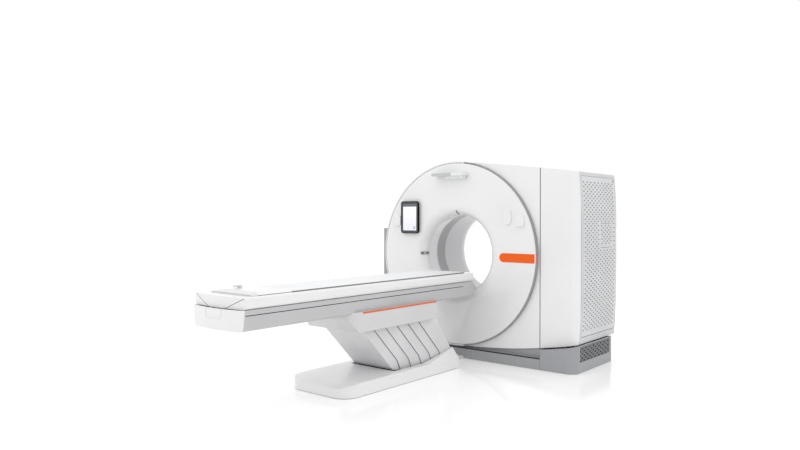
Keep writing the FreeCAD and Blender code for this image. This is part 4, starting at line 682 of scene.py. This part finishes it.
@dataclass(frozen=True)
class CoatedFabric(Finish):
    """Wipe-clean coated fabric: a fine leathery grain with a soft sheen."""

    marks: tuple[Mark, ...] = ()
    grain_scale: float = 420.0
    grain_depth: float = 0.0004
    crease_scale: float = 7.0

    def write(self, shader: Shader) -> None:
        """Write the coated fabric.

        Args:
            shader: the tree to write in.
        """
        cells = shader.node("ShaderNodeTexVoronoi", {"feature": "DISTANCE_TO_EDGE"},
                            {"Vector": shader.coords(), "Scale": self.grain_scale})
        crease = shader.noise(self.crease_scale, 4.0, (1.0, 0.4, 1.0)).ease(0.45, 0.8)
        base: Any = shader.blend(crease, self.colour, shaded(self.colour, 0.95))
        base, _ = self.tinted(shader, base, self.marks)
        shader.bump(shader.wire(cells, "Distance"), self.grain_depth, 0.5)
        shader.put(Base_Color=base, Roughness=crease * 0.08 + 0.42, Sheen_Weight=0.15,
                   Sheen_Roughness=0.4)


# ---------------------------------------------------------------- geometry writing
class Graph(Tree):
    """A geometry node tree with named inputs."""

    def __init__(self, name: str, sizes: dict[str, str]) -> None:
        """Start a tree.

        Args:
            name: the tree's name.
            sizes: socket type of each named input.
        """
        self.tree = bpy.data.node_groups.new(name, "GeometryNodeTree")
        face = self.tree.interface
        face.new_socket("Geometry", in_out="INPUT", socket_type="NodeSocketGeometry")
        for label, kind in sizes.items():
            face.new_socket(label, in_out="INPUT", socket_type=kind)
        face.new_socket("Geometry", in_out="OUTPUT", socket_type="NodeSocketGeometry")
        self.start = self.tree.nodes.new("NodeGroupInput")
        self.end = self.tree.nodes.new("NodeGroupOutput")

    def named(self, label: str) -> bpy.types.NodeSocket:
        """One of the tree's inputs."""
        return self.start.outputs[label]

    def close(self, geometry: bpy.types.NodeSocket) -> None:
        """Realize, set the material and end the tree.

        Args:
            geometry: the socket with the finished geometry.
        """
        real = self.node("GeometryNodeRealizeInstances", inputs={0: geometry})
        dressed = self.node("GeometryNodeSetMaterial",
                            inputs={"Geometry": real.outputs[0], "Material": self.named("Finish")})
        self.tree.links.new(dressed.outputs[0], self.end.inputs[0])

    def grow(self, seed: bpy.types.Object, name: str, values: dict[str, Any]) -> bpy.types.Object:
        """Run the tree on an object and keep the result as a plain mesh.

        Args:
            seed: the object that carries the modifier; it is removed afterwards.
            name: name of the new piece.
            values: values of the named inputs.

        Returns:
            The new mesh object.
        """
        modifier = seed.modifiers.new("grow", "NODES")
        modifier.node_group = self.tree
        for item in self.tree.interface.items_tree:
            if item.in_out == "INPUT" and item.name in values:
                modifier[item.identifier] = values[item.name]
        depsgraph = bpy.context.evaluated_depsgraph_get()
        mesh = bpy.data.meshes.new_from_object(seed.evaluated_get(depsgraph), depsgraph=depsgraph)
        mesh.name = name
        piece = placed_object(name, mesh)
        bpy.data.objects.remove(seed)
        return piece


def sweep_graph() -> Graph:
    """Write the tree that sweeps a rectangle along the splines of a curve.

    Returns:
        The tree.
    """
    graph = Graph("sweep", {"Width": "NodeSocketFloat", "Height": "NodeSocketFloat",
                            "Finish": "NodeSocketMaterial"})
    profile = graph.node("GeometryNodeCurvePrimitiveQuadrilateral",
                         inputs={"Width": graph.named("Width"), "Height": graph.named("Height")})
    swept = graph.node("GeometryNodeCurveToMesh", inputs={"Curve": graph.named("Geometry"),
                                                          "Profile Curve": profile.outputs[0],
                                                          "Fill Caps": True})
    graph.close(swept.outputs[0])
    return graph


def ring_graph() -> Graph:
    """Write the tree that repeats a fastener on a circle about an axis along Y.

    Returns:
        The tree.
    """
    graph = Graph("fastener_ring", {"Count": "NodeSocketInt", "Circle": "NodeSocketFloat",
                                    "Centre": "NodeSocketVector", "Head": "NodeSocketObject",
                                    "Turn": "NodeSocketVector", "Finish": "NodeSocketMaterial"})
    circle = graph.node("GeometryNodeMeshCircle", inputs={"Vertices": graph.named("Count"),
                                                          "Radius": graph.named("Circle")})
    upright = graph.node("GeometryNodeTransform",
                         inputs={"Geometry": circle.outputs[0], "Translation": graph.named("Centre"),
                                 "Rotation": (math.pi / 2, 0.0, 0.0)})
    head = graph.node("GeometryNodeObjectInfo", inputs={"Object": graph.named("Head")})
    placed = graph.node("GeometryNodeInstanceOnPoints",
                        inputs={"Points": upright.outputs[0], "Instance": head.outputs["Geometry"],
                                "Rotation": graph.named("Turn")})
    graph.close(placed.outputs[0])
    return graph


def placed_object(name: str, data: bpy.types.ID) -> bpy.types.Object:
    """Make an object of some data and put it into the scene."""
    made = bpy.data.objects.new(name, data)
    bpy.context.scene.collection.objects.link(made)
    return made


def mesh_piece(name: str, verts: Sequence[Point], faces: Sequence[Sequence[int]],
               smooth: bool = False) -> bpy.types.Object:
    """Make a mesh object from points and faces, with its normals outwards.

    Args:
        name: name of the piece.
        verts: points in metres.
        faces: corner numbers of each face.
        smooth: whether faces are shaded smooth.

    Returns:
        The object.
    """
    mesh = bpy.data.meshes.new(name)
    mesh.from_pydata([tuple(v) for v in verts], [], [tuple(f) for f in faces])
    work = bmesh.new()
    work.from_mesh(mesh)
    bmesh.ops.remove_doubles(work, verts=work.verts, dist=1e-7)
    bmesh.ops.recalc_face_normals(work, faces=work.faces)
    work.to_mesh(mesh)
    work.free()
    for polygon in mesh.polygons:
        polygon.use_smooth = smooth
    return placed_object(name, mesh)


def path_seed(name: str, paths: Sequence[Sequence[Point]]) -> bpy.types.Object:
    """Make a curve object with one straight-edged spline for each path.

    Args:
        name: name of the curve.
        paths: points of each path, in metres.

    Returns:
        The curve object.
    """
    data = bpy.data.curves.new(name, "CURVE")
    data.dimensions = "3D"
    data.twist_mode = "Z_UP"
    for points in paths:
        spline = data.splines.new("POLY")
        spline.points.add(len(points) - 1)
        for slot, point in zip(spline.points, points):
            slot.co = (*point, 1.0)
    return placed_object(name, data)


def hex_head(radius: float, height: float) -> bpy.types.Object:
    """Make a hexagon bolt head with a washer face and a chamfered crown, standing on z = 0.

    Args:
        radius: radius to the corners of the hexagon, in metres.
        height: height of the head with its washer face.

    Returns:
        The head, to be repeated.
    """
    steps, sixth = 24, math.pi / 6
    washer, washer_top = radius * 1.25, height * 0.16
    levels = ((washer, 0.0, False), (washer, washer_top, False), (radius, washer_top, True),
              (radius, height * 0.86, True), (radius * 0.84, height, True))
    verts: list[Point] = []
    for size, z, hexagon in levels:
        for index in range(steps):
            angle = 2 * math.pi * index / steps
            fold = (angle + sixth) % (2 * sixth) - sixth
            reach = size * math.cos(sixth) / math.cos(fold) if hexagon else size
            verts.append((reach * math.cos(angle), reach * math.sin(angle), z))
    faces: list[list[int]] = []
    for low in range(0, len(verts) - steps, steps):
        for index in range(steps):
            after = (index + 1) % steps
            faces.append([low + index, low + after, low + steps + after, low + steps + index])
    faces.append(list(range(steps - 1, -1, -1)))
    faces.append(list(range(len(verts) - steps, len(verts))))
    return mesh_piece("head_seed", verts, faces)


def dress(node: str, material: bpy.types.Material) -> None:
    """Give a CAD node one material on all its slots.

    Args:
        node: name of the node.
        material: what it wears.
    """
    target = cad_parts[node]
    if not target.material_slots:
        target.data.materials.append(material)
    for slot in target.material_slots:
        slot.material = material


# ---------------------------------------------------------------- palette
WHITE: Colour = (0.845, 0.845, 0.85)
ORANGE: Colour = (0.88, 0.125, 0.008)
TABLE_WHITE: Colour = (0.84, 0.84, 0.845)
PALE_GREY: Colour = (0.635, 0.64, 0.65)
# near-black for seam lines, also used as painted shade inside the trough's groove
SEAM_AND_GROOVE_SHADE: Colour = (0.02, 0.02, 0.022)
GREY_SIDE: Colour = (0.16, 0.16, 0.165)
STRIP_Z: Range = (0.878, 0.955)         # the orange strip, carried on over its neighbours
RIGHT: Range = (0.80, FAR)
PLUG_PLACES: tuple[Point2, ...] = tuple(
    (0.60 * math.cos(math.radians(turn)), ISO_HEIGHT + 0.60 * math.sin(math.radians(turn)))
    for turn in range(15, 360, 30))


@dataclass(frozen=True)
class Palette:
    """The finishes of all nodes, each with the nodes that wear it."""

    shells: tuple[tuple[Finish, tuple[str, ...]], ...] = (
        (MouldedShell("white_lacquer", WHITE, marks=(
            Block(SEAM_AND_GROOVE_SHADE, x=(0.8368, 0.8432), y=(-FAR, -0.10)),)),
         ("front_surround", "cabinet_cover", "top_cover", "side_docks")),
        (MouldedShell("disc_lacquer", WHITE, roughness=0.2, coat=0.8, marks=(
            Block(ORANGE, x=RIGHT, y=(-FAR, -0.3695), z=STRIP_Z),)), ("front_disc",)),
        (MouldedShell("rear_lacquer", WHITE, marks=(
            Disc((0.55, 0.55, 0.56), 0.3, PLUG_PLACES, 0.009, True),
            Disc((0.74, 0.74, 0.74), 0.2, PLUG_PLACES, 0.0075))), ("rear_cover",)),
        (PowderCoat("pale_grey_coat", PALE_GREY, roughness=0.38), ("side_frame",)),
        (PowderCoat("door_coat", (0.68, 0.685, 0.695), roughness=0.4), ("side_door", "service_hatch")),
        # partly painted shade: a grey cover, given a darker grey for the shade it lies in
        (MouldedShell("left_cover_lacquer_and_shade", (0.36, 0.36, 0.37), roughness=0.35, coat=0.2),
         ("left_side_cover",)),
        (SatinPlastic("base_plastic_gap_shade", (0.34, 0.345, 0.36), roughness=0.38, marks=(
            # painted shadow: this near-black band stands for the shadow in the gap between the front
            # skirt and the set-back part above it
            Block((0.012, 0.012, 0.013), x=(-0.93, 0.8595), y=(-FAR, -0.3735), z=(0.0865, 0.0985)),
            Block((0.07, 0.07, 0.075), 0.3, x=(0.8585, 0.8605), y=(-FAR, -0.3735)))),
         ("base_plinth",)),
        (PowderCoat("grille_coat", (0.165, 0.17, 0.18), roughness=0.5), ("base_grille",)),
        (SatinPlastic("ring_plastic_and_shade", (0.30, 0.30, 0.305), roughness=0.35, marks=(
            # painted shade: the ring's dark grey stands for shade in the gap round the disc, so it is
            # kept only on the right, and left of x = 0.1 m the ring is painted pale
            Block((0.78, 0.78, 0.79), x=(-FAR, 0.1)),
            Block(ORANGE, x=RIGHT, y=(-FAR, -0.3655), z=STRIP_Z))), ("disc_trim_ring",)),
        (SatinPlastic("lock_plastic", (0.16, 0.16, 0.165), roughness=0.35), ("door_lock",)),
        (SatinPlastic("knob_plastic", (0.72, 0.72, 0.73), roughness=0.35), ("release_knob",)),
        (SatinPlastic("window_plastic", (0.42, 0.42, 0.43), roughness=0.3, texture=0.00003),
         ("scan_window",)),
        (MouldedShell("tunnel_lacquer", (0.70, 0.70, 0.71), roughness=0.3, coat=0.3), ("rear_funnel",)),
        (MouldedShell("orange_lacquer", ORANGE, roughness=0.4, coat=0.1, specular=0.2),
         ("orange_strip",)),
        (SatinPlastic("control_plastic", (0.50, 0.50, 0.51), roughness=0.35), ("control_bezel",)),
        (SatinPlastic("button_plastic", (0.16, 0.16, 0.165), roughness=0.35),
         ("control_button_left", "control_button_right")),
        (MouldedShell("tablet_case_plastic", (0.004, 0.0045, 0.005), roughness=0.5, coat=0.0,
                      specular=0.05, peel=0.00002), ("tablet_case",)),
        (Display("tablet_glass", (0.006, 0.007, 0.008)), ("tablet_screen",)),
        (DarkGlass("laser_glass_tint", (0.02, 0.02, 0.022)), ("laser_windows",)),
        (BareMetal("screw_steel", (0.45, 0.45, 0.46), 0.32), ("cover_screws",)),
    )
    inside: tuple[tuple[Finish, tuple[str, ...]], ...] = (
        (PowderCoat("frame_coat", (0.055, 0.06, 0.068)), ("base_frame",)),
        (PowderCoat("stator_coat", (0.12, 0.135, 0.165)), ("stator_frame",)),
        (BareMetal("race_steel", (0.56, 0.56, 0.57), 0.22, Lay.TURNED),
         ("bearing_outer_race", "bearing_inner_race")),
        (BareMetal("ball_chrome", (0.72, 0.72, 0.74), 0.08, Lay.BLASTED, 0.000005), ("bearing_balls",)),
        (BareMetal("drum_alloy_turned", (0.62, 0.63, 0.64), 0.3, Lay.TURNED), ("rotor_drum",)),
        (PowderCoat("tube_coat", (0.66, 0.67, 0.69), roughness=0.35), ("xray_tube",)),
        (BareMetal("detector_alloy_brushed", (0.36, 0.38, 0.42), 0.38, Lay.BRUSHED_Y),
         ("detector_arc",)),
        (PowderCoat("module_coat", (0.34, 0.36, 0.40)), ("high_voltage_generator",)),
        (SlipTracks("slip_ring_brass", (0.78, 0.56, 0.22)), ("slip_ring",)),
        (SatinPlastic("brush_plastic_dark", (0.02, 0.02, 0.024)), ("brush_block",)),
        (CastPaint("motor_paint", (0.035, 0.04, 0.05)), ("drive_motor", "lift_motor")),
        (BareMetal("pulley_alloy_blasted", (0.55, 0.56, 0.58), 0.35), ("motor_pulley",)),
        (BeltRubber("belt_rubber_ribbed", (0.012, 0.012, 0.012)), ("drive_belt",)),
        (PowderCoat("cabinet_coat", (0.48, 0.50, 0.53)), ("power_cabinet",)),
    )
    table: tuple[tuple[Finish, tuple[str, ...]], ...] = (
        (MouldedShell("pedestal_lacquer", TABLE_WHITE, roughness=0.3, coat=0.3, peel=0.00001),
         ("pedestal_cover",)),
        (MouldedShell("housing_lacquer", (0.655, 0.655, 0.66)), ("carriage_housing",)),
        (MouldedShell("end_cap_lacquer", TABLE_WHITE), ("foot_end_cap",)),
        # painted shade: the trough is white in itself but is given a mid grey for the shade under the
        # tabletop, and its groove a near-black band for the shade inside it
        (MouldedShell("trough_lacquer_painted_shade", (0.52, 0.52, 0.53), marks=(
            Block(SEAM_AND_GROOVE_SHADE, y=(-2.897, -0.599), z=(0.6665, 0.6725)),)), ("table_trough",)),
        (MouldedShell("top_lacquer", TABLE_WHITE, roughness=0.2, marks=(
            Vee((0.12, 0.12, 0.13), 0.0, (0.085, 0.705), (0.245, 0.775), 0.0035, -2.8),)),
         ("tabletop",)),
        (MouldedShell("foot_cover_lacquer", TABLE_WHITE, marks=(
            Block((0.70, 0.70, 0.71), y=(-FAR, -2.757)),
            Block(GREY_SIDE, x=(0.2085, FAR), y=(-2.77, FAR)),
            Block(GREY_SIDE, x=(-FAR, -0.2085), y=(-2.77, FAR)))),
         ("foot_cover",)),
        (PowderCoat("lamella_coat", (0.75, 0.75, 0.76), roughness=0.36, grain=0.00005),
         tuple(f"lamella_{index}" for index in range(1, 7))),
        (PowderCoat("lift_coat", (0.075, 0.08, 0.09)),
         ("table_base", "lift_arm_front", "lift_arm_rear", "lift_carriage")),
        (SatinPlastic("duct_plastic", (0.74, 0.74, 0.75)), ("cable_duct",)),
        (MouldedShell("hood_lacquer", (0.80, 0.81, 0.82), marks=(
            Block((0.52, 0.53, 0.54), x=(-FAR, 0.02), z=(1.632, FAR)),)), ("display_hood",)),
    )

    def dress_all(self) -> None:
        """Paint every CAD node."""
        for group in (self.shells, self.inside, self.table):
            for finish, nodes in group:
                material = finish.paint()
                for node in nodes:
                    dress(node, material)
                log.info("finish %s on %s", finish.name, ", ".join(nodes))


# ---------------------------------------------------------------- sub-assemblies
@dataclass
class TableTrim:
    """Thin trims of the table: orange stripes, and dark seals between the lamellae that also stand in
    for the shade in their gaps.
    """

    stripe_z: float = 0.5815
    stripe_width: float = 0.012
    kink_first: float = -1.425
    kink_pitch: float = 0.128
    lamella_x: float = 0.196
    lamella_step: float = 0.0048
    stripe_sunk: float = 0.0002         # how far the stripe's middle lies in the wall
    stripe_thick: float = 0.0016
    stripe_foot: float = 0.111          # from the housing's foot end
    stripe_head: float = 0.004          # from its head end
    stripe_middle: float = -1.5
    seal_out: float = 0.0021            # from the lamella's wall to the seal's middle
    seal_size: tuple[float, float] = (0.0036, 0.0024)
    seal_line: tuple[Point2, ...] = ((0.0385, 0.086), (-0.0012, 0.1657), (-0.2962, 0.4602))

    def build(self) -> list[bpy.types.Object]:
        """Make all trims and hang them on their bodies."""
        return [self.stripes(), *self.seals_and_gap_shade()]

    def stripes(self) -> bpy.types.Object:
        """Lay the orange line along the top edge of the carriage housing, on both sides.

        Returns:
            Both lines as one piece.
        """
        low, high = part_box("carriage_housing")
        ends = (low[1] + self.stripe_foot, self.stripe_middle, high[1] - self.stripe_head)
        paths = []
        for side in (-1, 1):
            x = side * (max(abs(low[0]), abs(high[0])) - self.stripe_sunk)
            paths.append([(x, y, self.stripe_z) for y in ends])
        seed = path_seed("stripe_seed", paths)
        finish = MouldedShell("stripe_lacquer", ORANGE, roughness=0.4, coat=0.1, specular=0.2).paint()
        piece = sweep_graph().grow(seed, "housing_stripes", {
            "Width": self.stripe_thick, "Height": self.stripe_width, "Finish": finish})
        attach(piece, "carriage")
        return piece

    def seals_and_gap_shade(self) -> list[bpy.types.Object]:
        """Lay a thin dark seal along the front edge of each outer lamella; its dark also stands in for
        the shade in the gap there.

        Returns:
            Five seals, from the second lamella to the sixth.
        """
        width, height = self.seal_size
        # painted shade: the seals' near-black stands in for the shade between the lamellae as well as
        # for rubber
        finish = SatinPlastic("seal_rubber_and_gap_shade", (0.035, 0.035, 0.037), roughness=0.6).paint()
        graph = sweep_graph()
        made = []
        for index in range(1, 6):
            kink = self.kink_first + self.kink_pitch * (index - 1)
            x = self.lamella_x + self.lamella_step * index + self.seal_out
            paths = [[(side * x, kink + along, z) for along, z in self.seal_line] for side in (-1, 1)]
            seed = path_seed("seal_seed", paths)
            piece = graph.grow(seed, f"lamella_seal_{index + 1}", {
                "Width": width, "Height": height, "Finish": finish})
            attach(piece, f"lamella_{index + 1}_swing")
            made.append(piece)
        return made


@dataclass
class PatientMat:
    """Thin wipe-clean pad on the bed of the patient top."""

    columns: int = 48
    rows: int = 260
    corner: float = 0.016
    crown: float = 0.0035
    welt: float = 0.012
    rim_grey: Colour = (0.17, 0.17, 0.175)
    rim_width: float = 0.0034
    roll: float = 0.004         # radius of the rolled edge
    seam_half: float = 0.0016
    seam_depth: float = 0.0012
    puff_run: float = 0.05      # over which the crown rises
    gather: float = 1.35        # how much closer the rows stand near the ends

    def build(self) -> bpy.types.Object:
        """Make the pad in the place of its plain CAD solid.

        Returns:
            The pad.
        """
        low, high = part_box("table_mat")
        cx, cy = (low[0] + high[0]) / 2, (low[1] + high[1]) / 2
        hx, hy = (high[0] - low[0]) / 2, (high[1] - low[1]) / 2
        thick = high[2] - low[2]
        verts = [self._point(row, column, layer, (cx, cy, low[2]), (hx, hy, thick))
                 for layer in (0, 1) for row in range(self.rows + 1)
                 for column in range(self.columns + 1)]
        faces: list[list[int]] = []
        stride = self.columns + 1
        size = stride * (self.rows + 1)
        for row in range(self.rows):
            for column in range(self.columns):
                a = row * stride + column
                faces.append([a, a + stride, a + stride + 1, a + 1])
                faces.append([size + a, size + a + 1, size + a + stride + 1, size + a + stride])
        border = [row * stride for row in range(self.rows + 1)]
        border += [self.rows * stride + c for c in range(1, self.columns + 1)]
        border += [row * stride + self.columns for row in range(self.rows - 1, -1, -1)]
        border += [c for c in range(self.columns - 1, 0, -1)]
        for first, second in zip(border, border[1:] + border[:1]):
            faces.append([first, second, size + second, size + first])
        piece = mesh_piece("patient_mat", verts, faces, smooth=True)
        piece.data.materials.append(CoatedFabric("mat_fabric_coated", (0.80, 0.81, 0.82), marks=(
            Block(self.rim_grey, x=(hx - self.rim_width, FAR)),
            Block(self.rim_grey, x=(-FAR, self.rim_width - hx)))).paint())
        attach(piece, "patient_top")
        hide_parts("table_mat")
        return piece

    def _spread(self, step: int, count: int) -> float:
        """Spread places from -1 to 1, closer together near both ends."""
        t = step / count * 2 - 1
        return math.copysign(1 - (1 - abs(t)) ** self.gather, t)

    def _point(self, row: int, column: int, layer: int, base: Point, half: Point) -> Point:
        """Find one point of the pad's skin.

        Args:
            row: number along the pad.
            column: number across the pad.
            layer: 0 for the underside, 1 for the top.
            base: middle of the underside.
            half: half the width, half the length and the thickness.

        Returns:
            The point.
        """
        u = self._spread(column, self.columns)
        v = self._spread(row, self.rows)
        hx, hy, thick = half
        dx, dy = u * hx, v * hy
        over_x = max(0.0, abs(dx) - (hx - self.corner))
        over_y = max(0.0, abs(dy) - (hy - self.corner))
        reach = math.hypot(over_x, over_y)
        longest = max(over_x, over_y)
        if reach > 0 and longest > 0:
            scale = longest / reach
            dx = math.copysign(abs(dx) - over_x + over_x * scale, dx)
            dy = math.copysign(abs(dy) - over_y + over_y * scale, dy)
        edge = min(hx - abs(dx), hy - abs(dy))
        rolled = min(1.0, max(0.0, edge / self.roll))
        lift = math.sqrt(max(0.0, 1 - (1 - rolled) ** 2))
        seam = math.exp(-((edge - self.welt) / self.seam_half) ** 2) * self.seam_depth
        puff = self.crown * min(1.0, edge / self.puff_run) * (1 - 0.15 * math.sin(dy * 9.0) ** 2)
        mid = thick * 0.5
        z = mid + (mid + puff) * lift - seam if layer else mid - mid * lift
        return base[0] + dx, base[1] + dy, base[2] + z


@dataclass
class GantryFasteners:
    """Bolt rings on the main bearing, one for the still part and one for the turning part."""

    outer_circle: float = 0.5625
    inner_circle: float = 0.5175
    face_y: float = 0.068
    count: int = 36
    head_radius: float = 0.0075
    head_height: float = 0.006

    def build(self) -> list[bpy.types.Object]:
        """Make both bolt rings.

        Returns:
            The ring of the still race and the ring of the turning one.
        """
        steel = BareMetal("bolt_zinc", (0.50, 0.50, 0.50), 0.3).paint()
        graph = ring_graph()
        made = []
        for name, circle, body in (("outer_race_bolts", self.outer_circle, "root"),
                                   ("inner_race_bolts", self.inner_circle, "rotor")):
            head = hex_head(self.head_radius, self.head_height)
            seed = mesh_piece(name + "_seed", [(0, 0, 0)], [])
            piece = graph.grow(seed, name, {
                "Count": self.count, "Circle": circle, "Centre": (0.0, self.face_y, ISO_HEIGHT),
                "Head": head, "Turn": (-math.pi / 2, 0.0, 0.0), "Finish": steel})
            bpy.data.objects.remove(head)
            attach(piece, body)
            made.append(piece)
        return made


@dataclass
class DoorFilter:
    """Pale filter fleece behind the perforated door and behind its hatch."""

    top: Point2 = (1.153, 1.634)
    middle: Point2 = (1.183, 0.934)
    foot: Point2 = (1.155, 0.228)
    back: float = 0.0046
    thick: float = 0.0016
    hatch_y: Range = (0.100, 0.335)
    hatch_z: Range = (1.004, 1.213)
    rear_y: float = 0.392
    inset: tuple[float, float, float] = (0.018, 0.036, 0.018)   # at the door's front, foot and top
    gap: float = 0.012
    hatch_inset: tuple[float, float, float] = (0.012, 0.018, 0.008)     # at the sides, foot and top

    def surface_x(self, z: float) -> float:
        """Find the outer surface of the side, on the circle through three points.

        Args:
            z: height above the floor.

        Returns:
            The surface's x at that height.
        """
        (ax, az), (bx, bz), (cx, cz) = self.top, self.middle, self.foot
        d = 2 * (ax * (bz - cz) + bx * (cz - az) + cx * (az - bz))
        aa, bb, cc = ax * ax + az * az, bx * bx + bz * bz, cx * cx + cz * cz
        ox = (aa * (bz - cz) + bb * (cz - az) + cc * (az - bz)) / d
        oz = (aa * (cx - bx) + bb * (ax - cx) + cc * (bx - ax)) / d
        radius = math.hypot(ax - ox, az - oz)
        return ox + math.sqrt(radius * radius - (z - oz) ** 2)

    def panel(self, name: str, low: Point2, high: Point2) -> bpy.types.Object:
        """Make one sheet that follows the bulge of the side.

        Args:
            name: the sheet's name.
            low: its lower corner as (y, z).
            high: its upper corner as (y, z).

        Returns:
            The sheet.
        """
        steps = max(4, int((high[1] - low[1]) / 0.03))
        verts: list[Point] = []
        faces: list[list[int]] = []
        for step in range(steps + 1):
            z = low[1] + (high[1] - low[1]) * step / steps
            x = self.surface_x(z) - self.back
            verts += [(x, low[0], z), (x, high[0], z), (x - self.thick, high[0], z),
                      (x - self.thick, low[0], z)]
        for step in range(steps):
            a = step * 4
            for k in range(4):
                faces.append([a + k, a + (k + 1) % 4, a + 4 + (k + 1) % 4, a + 4 + k])
        faces += [[0, 1, 2, 3], [steps * 4 + k for k in (3, 2, 1, 0)]]
        return mesh_piece(name, verts, faces)

    def build(self) -> list[bpy.types.Object]:
        """Make the fleece in two bodies.

        Returns:
            The door's fleece and the hatch's.
        """
        low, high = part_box("side_door")
        front, foot, top = self.inset
        y0, y1 = low[1] + front, self.rear_y
        z0, z1 = low[2] + foot, high[2] - top
        (hy0, hy1), (hz0, hz1) = self.hatch_y, self.hatch_z
        gap = self.gap
        parts = [self.panel("fleece_low", (y0, z0), (y1, hz0 - gap)),
                 self.panel("fleece_high", (y0, hz1 + gap), (y1, z1)),
                 self.panel("fleece_front", (y0, hz0 - gap), (hy0 - gap, hz1 + gap)),
                 self.panel("fleece_rear", (hy1 + gap, hz0 - gap), (y1, hz1 + gap))]
        finish = SatinPlastic("filter_fleece", (0.30, 0.305, 0.31), roughness=0.85,
                              texture=0.0006).paint()
        work = bmesh.new()
        for part in parts:
            work.from_mesh(part.data)
            bpy.data.objects.remove(part)
        mesh = bpy.data.meshes.new("door_filter")
        work.to_mesh(mesh)
        work.free()
        door = placed_object("door_filter", mesh)
        side, foot, top = self.hatch_inset
        hatch = self.panel("hatch_filter", (hy0 + side, hz0 + foot), (hy1 - side, hz1 - top))
        for piece, body in ((door, "door"), (hatch, "hatch")):
            piece.data.materials.append(finish)
            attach(piece, body)
        return [door, hatch]


# ---------------------------------------------------------------- studio
@dataclass(frozen=True)
class Softbox:
    """One large soft light."""

    name: str
    place: Point
    aim: Point
    size: float
    power: float


@dataclass
class Studio:
    """Camera, pale floor and soft light."""

    eye: Point = (3.5933, -5.4800, 1.2684)
    ahead: Point = (-0.6381, 0.7698, -0.0122)
    lens: float = 30.99
    sky: float = 1.0
    floor_half: float = 60.0
    floor_z: float = -0.0005
    floor_light: float = 0.2
    boxes: tuple[Softbox, ...] = field(default_factory=lambda: (
        Softbox("key_light", (-2.6, -5.2, 5.4), (0.0, -0.8, 0.8), 3.0, 26.0),
        Softbox("top_light", (0.4, -1.2, 5.6), (0.2, -1.2, 0.0), 4.0, 34.0),
        Softbox("side_light", (5.6, -0.6, 2.6), (1.0, -0.2, 0.9), 2.5, 6.0)))

    def build(self) -> None:
        """Set up camera, light and floor."""
        scene = bpy.context.scene
        scene.view_settings.view_transform = "Standard"
        data = bpy.data.cameras.new("studio_camera")
        data.sensor_width = 36.0
        data.lens = self.lens
        data.clip_start, data.clip_end = 0.05, 200.0
        camera = placed_object("studio_camera", data)
        camera.location = self.eye
        camera.rotation_euler = Vector(self.ahead).to_track_quat("-Z", "Y").to_euler()
        scene.camera = camera
        world = bpy.data.worlds.new("studio_world")
        world.use_nodes = True
        back = world.node_tree.nodes["Background"]
        back.inputs["Color"].default_value = (1.0, 1.0, 1.0, 1.0)
        back.inputs["Strength"].default_value = self.sky
        scene.world = world
        for box in self.boxes:
            self._light(box)
        self._floor()

    @staticmethod
    def _light(box: Softbox) -> None:
        """Hang one softbox.

        Args:
            box: where it hangs, where it points, its size and its power.
        """
        data = bpy.data.lights.new(box.name, "AREA")
        data.shape = "SQUARE"
        data.size = box.size
        data.energy = box.power
        lamp = placed_object(box.name, data)
        lamp.location = box.place
        way = Vector(box.aim) - Vector(box.place)
        lamp.rotation_euler = way.to_track_quat("-Z", "Y").to_euler()

    def _floor(self) -> None:
        """Lay the pale polished floor."""
        half, z = self.floor_half, self.floor_z
        corners = [(-half, -half, z), (half, -half, z), (half, half, z), (-half, half, z)]
        floor = mesh_piece("studio_floor", corners, [(0, 1, 2, 3)])
        if floor.data.polygons[0].normal.z < 0:
            floor.data.flip_normals()
        shader = Shader("studio_floor_gloss")
        soft = shader.noise(0.8, 2.0)
        shader.put(Base_Color=(0.84, 0.84, 0.84), Roughness=soft * 0.04 + 0.1, Specular_IOR_Level=0.5,
                   Emission_Color=(1.0, 1.0, 1.0), Emission_Strength=self.floor_light)
        floor.data.materials.append(shader.material)


def main() -> None:
    """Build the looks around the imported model."""
    logging.basicConfig(level=logging.INFO, format="%(message)s")
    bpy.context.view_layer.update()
    Studio().build()
    log.info("studio ready")
    Palette().dress_all()
    for builder in (TableTrim(), PatientMat(), GantryFasteners(), DoorFilter()):
        made = builder.build()
        for piece in made if isinstance(made, list) else [made]:
            log.info("%s: %d faces", piece.name, len(piece.data.polygons))


if __name__ == "__main__":
    main()
